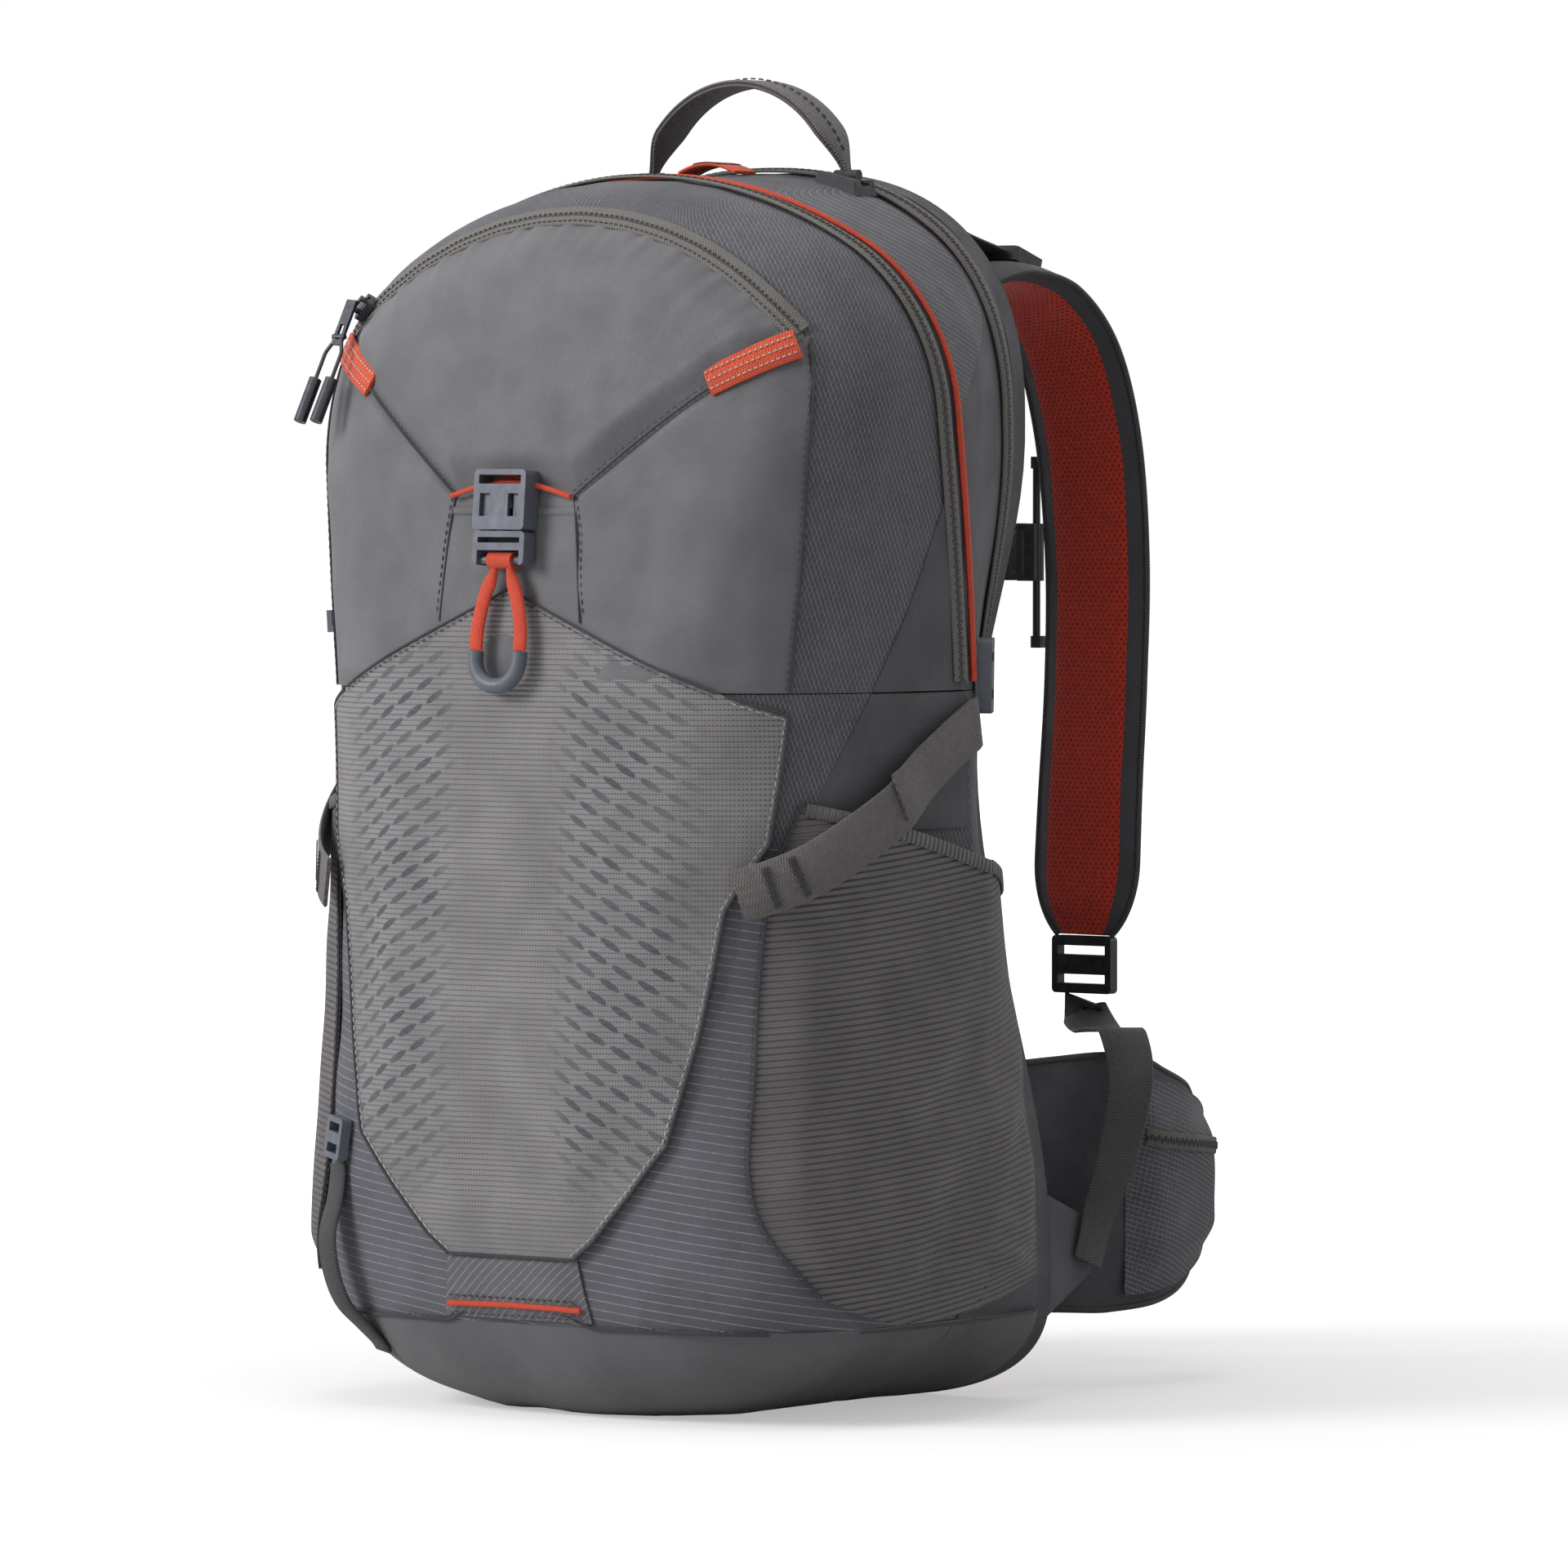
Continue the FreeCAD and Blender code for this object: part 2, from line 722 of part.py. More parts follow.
def top_pull():
    """The metal tab, its cord and the two moulded cord ends, hanging ahead of the pocket."""
    crown = top_pair_rest[0] + top_pair_rest[1] * (top_slider_lift + slider_height + crown_rise)
    down = V(-0.09, -0.42, -0.9).normalize()
    plate = block(-pull_width / 2, pull_width / 2, 0.0, pull_thick, -top_pull_drop, 0.0)
    window = block(-pull_width / 2 + 1.4, pull_width / 2 - 1.4, -1.0, 3.0, -top_pull_drop + 2.2, -top_pull_drop + 9.0)
    tab_solid = placed(plate.cut(window), crown, V(-1, 0, 0), down * -1.0)
    foot = crown + down * (top_pull_drop - 4.0)
    cords = []
    for side in (-1, 1):
        start = foot + V(side * 1.0, -0.8, 0)
        bend = start + down * 7.0 + V(side * cord_spread, 0, 0)
        end = bend + down * (cord_run - 7.0)
        cords.append(rounded_tube([start, bend, end], 0.8, [6.0]))
        cords.append(rod(end - down * 2.0, end + down * cord_end_length, cord_end_r))
    knot = rod(foot + V(-3.0, -0.9, 0), foot + V(3.0, -0.9, 0), 1.2)
    whole = tab_solid.fuse(knot)
    for cord in cords:
        whole = whole.fuse(cord)
    return whole.removeSplitter()


parts["top_zip_pull"] = top_pull()


# Buckles

buckle_width = 26.0
buckle_thick = 9.0
female_length = 24.0
prong_length = 15.0
male_length = 14.0
web_slot = 3.6
bar_r = 1.6
bar_inset = 2.0
sleeve_thick = 1.3


def female_buckle(scale=1.0):
    """A side-release socket: mouth at Z = 0 facing down, face outward along Y, webbing bar on top."""
    half = buckle_width * scale / 2
    shell_wall = 1.6
    body = block(-half, half, 0.0, buckle_thick, 0.0, female_length)
    body = body.makeFillet(2.0, [edge for edge in body.Edges if abs(edge.tangentAt(edge.FirstParameter).y) > 0.9])
    mouth = block(-half + 2.4, half - 2.4, shell_wall, buckle_thick - shell_wall, -1.0, female_length * 0.7)
    slot = block(-half + 2.4, half - 2.4, -1.0, buckle_thick + 1.0, female_length - 2.2 - web_slot, female_length - 2.2)
    body = body.cut(mouth).cut(slot)
    for side in (-1, 1):
        middle = side * half * 0.55
        window = block(middle - half * 0.2, middle + half * 0.2, buckle_thick / 2, buckle_thick + 1.0,
                       female_length * 0.22, female_length * 0.6)
        body = body.cut(window)
    return body


def male_buckle(scale=1.0):
    """The plug that goes up into the socket: two prongs, a guide and a frame with a webbing slot."""
    half = buckle_width * scale / 2
    low = 1.6 + run_clear
    high = buckle_thick - 1.6 - run_clear
    frame = block(-half, half, 1.0, buckle_thick - 1.0, -male_length, -0.5)
    frame = frame.makeFillet(2.0, [edge for edge in frame.Edges if abs(edge.tangentAt(edge.FirstParameter).y) > 0.9])
    slot = block(-half + 2.4, half - 2.4, -1.0, buckle_thick + 1.0, -male_length - 1.0, -male_length + 2.2 + web_slot)
    upper = block(-half + 2.4, half - 2.4, -1.0, buckle_thick + 1.0, -5.2, -3.0)
    bar = rod(V(-half + 1.0, buckle_thick / 2, -male_length + bar_inset),
              V(half - 1.0, buckle_thick / 2, -male_length + bar_inset), bar_r)
    whole = frame.cut(slot).cut(upper).fuse(bar)
    for side in (-1, 1):
        inner = side * (half - 2.4 - run_clear - 4.2)
        outer_x = side * (half - 2.4 - run_clear)
        whole = whole.fuse(block(min(inner, outer_x), max(inner, outer_x), low, high, -1.0, prong_length))
    return whole.fuse(block(-1.4, 1.4, low, high, -1.0, prong_length * 0.6))


clip_z = slit_z - 14.0
clip_lean = 5.0
clip_lift = 2.6
clip_down = V(0, -math.sin(math.radians(clip_lean)), -math.cos(math.radians(clip_lean)))
clip_out = V(0, -math.cos(math.radians(clip_lean)), math.sin(math.radians(clip_lean)))
clip_origin = V(0, dome_y(0.0, clip_z), clip_z) + clip_out * clip_lift
parts["front_buckle_female"] = placed(female_buckle(), clip_origin, V(-1, 0, 0), clip_down * -1.0)
parts["front_buckle_male"] = placed(male_buckle(), clip_origin, V(-1, 0, 0), clip_down * -1.0)
strap_under = []
for index in range(5):
    strap_under.append(on_front(0.0, clip_z + 8.0 + 5.0 * index))
parts["clip_webbing"] = strip_on(strap_under, strap_width * 0.75, webbing, 0.4)

# Pull loop under the front buckle
loop_legs = 11.0
loop_drop = 50.0
loop_width = 7.0
tube_r = 3.2
loop_pivot = clip_origin + clip_out * (buckle_thick / 2) + clip_down * (male_length - bar_inset)


def loop_place(x, drop):
    return loop_pivot + V(x, 0, 0) + clip_down * drop


def pull_loop():
    """Two webbing legs from a sleeve that turns on the plug's bar."""
    inner = bar_r + run_clear
    right = [(3.6, inner + 0.4), (4.6, 6.0), (8.2, 15.0), (loop_legs, 28.0), (loop_legs, loop_drop - 14.0)]
    ends = (loop_place(-6.0, 0.0), loop_place(6.0, 0.0))
    sleeve = rod(ends[0], ends[1], inner + sleeve_thick)
    whole = sleeve
    for side in (-1, 1):
        points = [loop_place(side * x, drop) for x, drop in right]
        whole = whole.fuse(band(points, clip_out, [3.0, loop_width, loop_width, loop_width, loop_width], webbing))
    return whole.cut(rod(ends[0], ends[1], inner))


def pull_tube():
    bend = loop_legs - 0.5
    top = loop_drop - 13.7
    points = [loop_place(-loop_legs, top), loop_place(-loop_legs, loop_drop), loop_place(loop_legs, loop_drop),
              loop_place(loop_legs, top)]
    return rounded_tube(points, tube_r, [bend, bend])


parts["pull_loop"] = pull_loop()
parts["pull_tube"] = pull_tube()

# Haul handle
handle_y = 58.0
handle_half = 50.0
handle_rise = 38.0
handle_width = 20.0
handle_thick = 3.2
knuckle_r = 2.4
knuckle_half = 6.0
root_half = 4.5
root_relief = 2.4
foot_thick = 2.0


def top_reach(x, y):
    low, high = 0.0, 1.0
    for _ in range(30):
        middle = (low + high) / 2
        if top_pair(x, middle)[0].y < y:
            low = middle
        else:
            high = middle
    return low


handle_foot = top_pair(handle_half, top_reach(handle_half, handle_y))[0]
handle_pivot_z = handle_foot.z + knuckle_r + foot_thick + 1.5


def haul_handle():
    """A folded webbing arch on two knuckles that lie along X over its sewn feet."""
    rise = handle_rise
    radius = (handle_half ** 2 + rise ** 2) / (2 * rise)
    centre_z = handle_pivot_z + rise - radius
    half_turn = math.acos((handle_pivot_z - centre_z) / radius)
    steps = 24
    points = []
    widths = []
    for index in range(steps + 1):
        turn = half_turn * (1 - 2 * index / steps)
        points.append(V(radius * math.sin(turn), handle_y, centre_z + radius * math.cos(turn)))
        from_end = radius * min(half_turn - turn, half_turn + turn)
        widths.append(knuckle_r * 1.6 + (handle_width - knuckle_r * 1.6) * smooth(from_end / 22.0))
    arch_solid = band(points, V(0, 1, 0), widths, handle_thick)
    for side in (-1, 1):
        middle = V(side * handle_half, handle_y, handle_pivot_z)
        arch_solid = arch_solid.fuse(rod(middle - V(knuckle_half, 0, 0), middle + V(knuckle_half, 0, 0), knuckle_r))
    return arch_solid


def handle_feet():
    """Sewn webbing feet with a shallow seat under each knuckle, deeper under the webbing's root so it can swing."""
    feet = []
    for side in (-1, 1):
        foot = block(-11.0, 11.0, -9.0, 6.0, 0.0, handle_pivot_z - handle_foot.z + 0.5)
        foot.translate(V(side * handle_half, handle_y, handle_foot.z))
        middle = V(side * handle_half, handle_y, handle_pivot_z)
        seat_cut = rod(middle - V(20, 0, 0), middle + V(20, 0, 0), knuckle_r + layer_gap)
        seat_cut = seat_cut.fuse(rod(middle - V(root_half, 0, 0), middle + V(root_half, 0, 0), knuckle_r + root_relief))
        lift = outer.copy()
        lift.translate(V(0, 0, 0.4))
        feet.append(foot.cut(seat_cut).cut(lift))
    return Part.makeCompound([solid for foot in feet for solid in foot.Solids])


parts["haul_handle"] = haul_handle()
parts["handle_feet"] = handle_feet()

label_y = 36.0
label_half = 10.0
label_reach = top_reach(0.0, label_y)
parts["top_label"] = strip_on([top_pair(label_half * (1 - index / 3), label_reach) for index in range(7)], 15.0, 2.6)


# Compression straps on the flanks

compression_path = [(-80.0, 211.0), (-70.0, 216.0), (-60.0, 222.0), (-46.0, 232.0), (-30.0, 243.0),
                    (-14.0, 254.0), (2.0, 265.0), (14.0, 272.0), (24.0, 276.0)]
compression_lift = 1.9
compression_buckle_y = 42.0
compression_buckle_z = 296.0
adjuster_width = 28.0
adjuster_height = 30.0
adjuster_thick = 6.0
lock_slot = 3.8


def adjuster(width, height, thick):
    """A ladder lock lying on Y = 0: a frame with two webbing slots and a middle bar."""
    body = block(-width / 2, width / 2, 0.0, thick, -height / 2, height / 2)
    body = body.makeFillet(2.0, [edge for edge in body.Edges if abs(edge.tangentAt(edge.FirstParameter).y) > 0.9])
    for side in (-1, 1):
        slot = block(-width / 2 + 3.0, width / 2 - 3.0, -1.0, thick + 1.0, side * height / 4 - lock_slot / 2, side * height / 4 + lock_slot / 2)
        body = body.cut(slot)
    return body


def compression_strap(side):
    return strip_on([on_side(y, z, side) for y, z in compression_path], strap_width, webbing, compression_lift)


def compression_buckle(side):
    shape = adjuster(adjuster_width, adjuster_height, adjuster_thick)
    return on_pair(shape, on_side(compression_buckle_y, compression_buckle_z, side), V(0, 0, 1), 1.2)


parts["compression_straps"] = Part.makeCompound([compression_strap(1), compression_strap(-1)])
parts["compression_buckles"] = Part.makeCompound([compression_buckle(1), compression_buckle(-1)])

# Tool loop at the lower left and its adjuster
tool_path = [(-94.5, 96.0, 0.3), (-94.0, 92.0, 0.3), (-93.0, 82.0, 3.5), (-92.0, 70.0, 8.5), (-90.5, 57.0, 9.5), (-88.5, 45.0, 8.0),
             (-86.0, 35.0, 3.5), (-84.0, 27.0, 0.3), (-83.0, 23.0, 0.3)]
tool_width = 13.0


def tool_loop():
    points = []
    for x, z, lift in tool_path:
        point, normal = on_front(x, z)
        points.append((point + normal * lift, normal))
    return strip_on(points, tool_width, webbing)


parts["tool_loop"] = tool_loop()
tool_spot = on_front(-94.5, 108.0)
parts["tool_loop_adjuster"] = on_pair(adjuster(17.0, 17.0, 4.0), tool_spot, V(0.1, 0, 1), seat)

# Pole keeper on the left flank
keeper_y = -42.0
keeper_z = 322.0


def pole_keeper():
    point, normal = on_side(keeper_y, keeper_z, -1)
    base = block(-7.0, 7.0, 0.0, 2.4, -10.0, 10.0)
    lip = block(-7.0, 7.0, 0.0, 7.0, -10.0, -7.6).fuse(block(-7.0, 7.0, 4.8, 7.0, -10.0, -1.0))
    return on_pair(base.fuse(lip), (point, normal), V(0, 0, 1), 1.0)


def keeper_cord():
    point, normal = on_side(keeper_y, keeper_z, -1)
    up = V(0, 0, 1) - normal * normal.z
    ahead = normal.cross(up.normalize())
    start = point + normal * 2.4 - up * 9.4

    def place(x, drop):
        return start + ahead * x - up * drop

    points = [place(-4.0, 3.0), place(-4.0, 17.0), place(4.0, 17.0), place(4.0, 3.0)]
    return rounded_tube(points, cord_r * 0.8, [3.9, 3.9])


parts["pole_keeper"] = Part.makeCompound([pole_keeper(), keeper_cord()])

# Back, lumbar pad and yoke
back_face = back_y + layer_gap
lumbar_half = 46.0
lumbar_low = 34.0
lumbar_high = 128.0
lumbar_thick = 13.0
yoke_half = 78.0
yoke_low = 424.0
yoke_high = 462.0
yoke_thick = 5.4
strap_half_gap = 48.0
pivot_y = back_face + yoke_thick + 6.2
pivot_z = 440.0


def soft_block(x0, x1, y0, y1, z0, z1, radius):
    solid = block(x0, x1, y0, y1, z0, z1)
    return solid.makeFillet(radius, [edge for edge in solid.Edges if abs(edge.tangentAt(edge.FirstParameter).y) > 0.9])


parts["lumbar_pad"] = soft_block(-lumbar_half, lumbar_half, back_face, back_face + lumbar_thick,
                                 lumbar_low, lumbar_high, 18.0)
parts["harness_yoke"] = soft_block(-yoke_half, yoke_half, back_face, back_face + yoke_thick,
                                   yoke_low, yoke_high, 12.0)

# Shoulder straps: places are out from the middle, back from the pack's back, and up
strap_pad_width = 52.0
strap_pad_thick = 11.0
strap_path = [(0.0, 0.0, 0.0), (3.0, 8.0, 9.0), (6.0, 20.0, 16.0), (10.0, 39.0, 18.5), (14.0, 62.0, 11.0),
              (18.0, 82.0, -12.0), (20.5, 94.0, -50.0), (22.0, 98.5, -100.0), (22.0, 97.5, -150.0),
              (21.5, 94.0, -200.0), (21.0, 91.0, -256.0)]


def strap_point(index, side):
    out, back, up = strap_path[index]
    return V(side * (strap_half_gap + out), pivot_y + back, pivot_z + up)


def shoulder_strap(side):
    points = [strap_point(index, side) for index in range(len(strap_path))]
    return band(points, V(1, 0, 0), strap_pad_width, strap_pad_thick)


parts["shoulder_strap_right"] = shoulder_strap(1)
parts["shoulder_strap_left"] = shoulder_strap(-1)

lock_gap = 0.4
lower_lock_width = 30.0
lower_lock_height = 24.0
lifter_lock_along = 10.0
lifter_lock_lift = 0.9
lifter_lock_height = 20.0
lifter_lock_thick = 6.0


def lifter_seat(side):
    """Where a load lifter's lock sits on its strap: point, direction down the strap and way out."""
    start = strap_point(3, side)
    along = strap_point(4, side) - start
    along = V(0, along.y, along.z).normalize()
    face = V(0, -along.z, along.y)
    return start + along * lifter_lock_along + face * (strap_pad_thick / 2 + lifter_lock_lift), along, face


def ladder_locks():
    """The four ladder locks of the shoulder straps: two at their ends, two under the load lifters."""
    solids = []
    for side in (-1, 1):
        end = strap_point(len(strap_path) - 1, side)
        lock = adjuster(lower_lock_width, lower_lock_height, 5.0)
        lock.translate(end + V(0, -2.5, -lower_lock_height / 2 - lock_gap))
        solids.append(lock)
        spot, along, face = lifter_seat(side)
        solids.append(placed(adjuster(22.0, lifter_lock_height, lifter_lock_thick), spot, V(1, 0, 0), along * -1.0))
    return Part.makeCompound(solids)


parts["ladder_locks"] = ladder_locks()

lifter_sag = 2.0


def load_lifters():
    solids = []
    for side in (-1, 1):
        start = V(side * 52.0, back_face + 1.2, back_top_z - 13.0)
        spot, along, face = lifter_seat(side)
        end = spot - along * (lifter_lock_height / 2 + lock_gap) + face * (lifter_lock_thick / 2)
        middle = (start + end) * 0.5 - V(0, 0, lifter_sag)
        solids.append(band([start, middle, end], V(1, 0, 0), narrow_width, webbing))
    return Part.makeCompound(solids)


parts["load_lifters"] = load_lifters()

# Lower webbing and the gussets that anchor it
gusset_tip_x = 113.0
gusset_tip_back = 42.0
gusset_tip_z = 60.0
gusset_root_x = 121.0
gusset_low_z = 34.0
gusset_high_z = 84.0
gusset_thick = 2.0
webbing_end_drop = lower_lock_height + 8 * lock_gap


def strap_gussets():
    solids = []
    for side in (-1, 1):
        root_x = side * gusset_root_x
        tip = V(side * gusset_tip_x, back_face + gusset_tip_back, gusset_tip_z)
        points = [V(root_x, back_face, gusset_low_z), V(root_x, back_face, gusset_high_z),
                  tip + V(0, 0, 11.0), tip - V(0, 0, 11.0)]
        solids.append(prism(points, V(side * gusset_thick, 0, 0)))
    return Part.makeCompound(solids)


def lower_webbing():
    solids = []
    for side in (-1, 1):
        top = strap_point(len(strap_path) - 1, side) - V(0, 0, webbing_end_drop)
        tip = V(side * (gusset_tip_x + gusset_thick + layer_gap + webbing / 2), back_face + gusset_tip_back, gusset_tip_z)
        points = [top, top - V(0, 0, 5.0), top + V(side * 15.0, -12.0, -11.0), top + V(side * 34.0, -27.0, -10.0),
                  V(tip.x + side * 2.0, tip.y + 19.0, tip.z + 86.0), V(tip.x + side * 14.0, tip.y + 7.0, tip.z + 68.0),
                  V(tip.x + side * 11.0, tip.y + 1.0, tip.z + 36.0), V(tip.x + side * 5.0, tip.y - 3.0, tip.z + 12.0),
                  tip - V(side * -4.0, 9.0, 6.0)]
        across = [V(1, 0, 0), V(1, 0, 0), V(0.8, 0.6, 0), V(0.6, 0.8, 0), V(0.5, 0.85, -0.1), V(0.15, 0.93, -0.35),
                  V(0, 0.93, -0.35), V(0, 0.89, -0.45), V(0, 0.89, -0.45)]
        frames = []
        for index, point in enumerate(points):
            before = points[max(index - 1, 0)]
            after = points[min(index + 1, len(points) - 1)]
            along = (after - before).normalize()
            width = V(side * across[index].x, across[index].y, across[index].z)
            width = (width - along * width.dot(along)).normalize()
            face = along.cross(width).normalize()
            frames.append((point - face * (webbing / 2), width * 20.0, face * webbing))
        solids.append(strip(frames))
    return Part.makeCompound(solids)


parts["strap_gussets"] = strap_gussets()
parts["lower_webbing"] = lower_webbing()

# Sternum strap
sternum_z = 343.0
rail_r = 1.6
rail_half = 40.0
rail_gap = 3.4
slide_clear = 0.4
clip_width = 10.0
clip_height = 24.0
sternum_scale = 0.92


def strap_inner_x():
    return strap_half_gap + strap_path[6][0] - strap_pad_width / 2


def strap_centre_y(z):
    points = [strap_point(index, 1) for index in range(len(strap_path))]
    for above, below in zip(points, points[1:]):
        if below.z <= z <= above.z:
            return above.y + (below.y - above.y) * (above.z - z) / (above.z - below.z)
    return points[-1].y


rail_x = strap_inner_x() - rail_gap
rail_y = strap_centre_y(sternum_z)


def sternum_rails():
    solids = []
    for side in (-1, 1):
        rail = rod(V(side * rail_x, rail_y, sternum_z - rail_half), V(side * rail_x, rail_y, sternum_z + rail_half), rail_r)
        for z in (sternum_z - rail_half, sternum_z + rail_half - 5.0):
            near = rail_x - rail_r
            far_x = strap_half_gap + strap_path[6][0] - strap_pad_width / 2 - 0.3
            rail = rail.fuse(block(min(side * near, side * far_x), max(side * near, side * far_x),
                                   rail_y - 2.0, rail_y + 2.0, z, z + 5.0))
        solids.append(rail)
    return Part.makeCompound(solids)


def sternum_clips():
    solids = []
    for side in (-1, 1):
        middle = side * (rail_x - 2.6)
        clip = block(middle - clip_width / 2, middle + clip_width / 2, rail_y - 3.6, rail_y + 3.6,
                     sternum_z - clip_height / 2, sternum_z + clip_height / 2)
        hole = rod(V(side * rail_x, rail_y, 0), V(side * rail_x, rail_y, 600.0), rail_r + slide_clear)
        mouth_x = side * (rail_x + 1.2)
        mouth = block(min(mouth_x, side * 80.0), max(mouth_x, side * 80.0), rail_y - 10.0, rail_y + 10.0, 0.0, 600.0)
        slot = block(middle - side * 2.6 - 1.3, middle - side * 2.6 + 1.3, rail_y - 10, rail_y + 10,
                     sternum_z - 10.2, sternum_z + 10.2)
        solids.append(clip.cut(hole).cut(mouth).cut(slot))
    return Part.makeCompound(solids)


sternum_half = buckle_width * sternum_scale / 2
sternum_turn = V(1, 0, 0)
sternum_mouth_x = 2.0
sternum_face_y = rail_y + buckle_thick / 2


def sternum_part(shape):
    return placed(shape, V(sternum_mouth_x, sternum_face_y, sternum_z), V(0, 0, -1), sternum_turn)


def sternum_webbing():
    """Webbing from each rail clip to its buckle half, cut short of the buckle's bar."""
    solids = []
    clip_edge = rail_x - 2.6 - clip_width / 2 - layer_gap
    for start, end in ((sternum_mouth_x + female_length + layer_gap, clip_edge),
                       (-clip_edge, sternum_mouth_x - male_length - layer_gap)):
        solids.append(block(start, end, rail_y - webbing / 2, rail_y + webbing / 2, sternum_z - 9.0, sternum_z + 9.0))
    return Part.makeCompound(solids)


parts["sternum_rails"] = sternum_rails()
parts["sternum_clips"] = sternum_clips()
parts["sternum_webbing"] = sternum_webbing()
parts["sternum_buckle_female"] = sternum_part(female_buckle(sternum_scale))
parts["sternum_buckle_male"] = sternum_part(male_buckle(sternum_scale))

# Hip belt: places are out from the hinge line, back from the pack's back, low edge and high edge
wing_hinge_x = 50.0
wing_thick = 11.0
wing_path = [(2.0, 6.4, 34.0, 130.0), (30.0, 18.0, 33.0, 134.0), (48.0, 41.0, 32.0, 137.0),
             (59.0, 65.0, 31.0, 138.0), (64.0, 90.0, 33.0, 132.0), (61.0, 115.0, 42.0, 124.0),
             (48.0, 140.0, 56.0, 112.0)]
belt_pocket_thick = 9.0
belt_pocket_edge = 4.0
belt_pocket_first = 3
belt_pocket_last = 5


def wing_frame(index, side):
    out, back, low, high = wing_path[index]
    return V(side * (wing_hinge_x + out), back_face + back, (low + high) / 2), high - low


def hip_wing(side):
    points = [wing_frame(index, side)[0] for index in range(len(wing_path))]
    widths = [wing_frame(index, side)[1] for index in range(len(wing_path))]
    return band([V(p.x, p.y, p.z) for p in points], V(0, 0, 1), widths, wing_thick)


def hip_pocket(side):
    """A zipped pocket swelling from the wing's outer face."""
    frames = []
    for index in range(belt_pocket_first, belt_pocket_last + 1):
        point, height = wing_frame(index, side)
        before = wing_frame(index - 1, side)[0]
        after = wing_frame(index + 1, side)[0]
        along = V(after.x - before.x, after.y - before.y, 0).normalize()
        face = V(side * along.y, -side * along.x, 0)
        deep = belt_pocket_thick if index == belt_pocket_first + 1 else belt_pocket_edge
        frames.append((point + face * (wing_thick / 2 + layer_gap + 0.2), V(0, 0, height - 14.0), face * deep))
    return strip(frames)


for side, name in ((1, "right"), (-1, "left")):
    parts["hip_wing_" + name] = hip_wing(side)
    parts["hip_pocket_" + name] = hip_pocket(side)

belt_z = 84.0
belt_webbing_width = 25.0
hip_scale = 1.15
hip_buckle_back = 156.0
hip_female_x = 34.0
hip_male_x = 46.0


def hip_webbing(side):
    end = wing_frame(len(wing_path) - 1, side)[0]
    buckle_y = back_face + hip_buckle_back
    buckle_x = hip_female_x + female_length + layer_gap
    if side < 0:
        buckle_x = -hip_male_x - male_length - layer_gap
    return band([V(end.x - side * 7.0, end.y + 2.6, belt_z), V(buckle_x + side * 13.0, buckle_y - 4.5, belt_z),
                 V(buckle_x, buckle_y, belt_z)], V(0, 0, 1), belt_webbing_width, webbing)


parts["hip_webbing_right"] = hip_webbing(1)
parts["hip_webbing_left"] = hip_webbing(-1)
hip_face_y = back_face + hip_buckle_back + buckle_thick / 2
parts["hip_buckle_female"] = placed(female_buckle(hip_scale), V(hip_female_x, hip_face_y, belt_z), V(0, 0, -1), V(1, 0, 0))
parts["hip_buckle_male"] = placed(male_buckle(hip_scale), V(-hip_male_x, hip_face_y, belt_z), V(0, 0, -1), V(1, 0, 0))

# Frame and sleeve inside
inner_back_y = back_y - skin_depth - layer_gap - wall
wire_r = 1.6
wire_half = 66.0
wire_low = 24.0
wire_high = 420.0
wire_bend = 50.0
sheet_thick = 2.0
sheet_corner = 24.0
sheet_half = wire_half + 2.0
sleeve_half = wire_half
sleeve_depth = 16.0
sleeve_wall = 1.8
sleeve_high = 330.0


def frame_wire():
    y = inner_back_y - wire_r - layer_gap
    points = [V(-wire_half, y, wire_low), V(-wire_half, y, wire_high), V(wire_half, y, wire_high), V(wire_half, y, wire_low)]
    return rounded_tube(points, wire_r, [wire_bend, wire_bend])


def frame_sheet():
    near = inner_back_y - 2 * wire_r - 2 * layer_gap
    return soft_block(-sheet_half, sheet_half, near - sheet_thick, near, wire_low, wire_high - 20.0, sheet_corner)


def hydration_sleeve():
    near = inner_back_y - 2 * wire_r - 3 * layer_gap - sheet_thick
    whole = soft_block(-sleeve_half, sleeve_half, near - sleeve_depth, near, wire_low, sleeve_high, 10.0)
    hollow = block(-sleeve_half + sleeve_wall, sleeve_half - sleeve_wall, near - sleeve_depth + sleeve_wall,
                   near - sleeve_wall, wire_low + sleeve_wall + 8.0, sleeve_high + 40.0)
    return whole.cut(hollow)


parts["frame_wire"] = frame_wire()
parts["frame_sheet"] = frame_sheet()
parts["hydration_sleeve"] = hydration_sleeve()


def write_parts():
    os.makedirs("parts", exist_ok=True)
    for name, shape in parts.items():
        shape.exportStep("parts/" + name + ".step")
        print(name, len(shape.Solids), round(shape.Volume), shape.isValid())


write_parts()
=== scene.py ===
import math

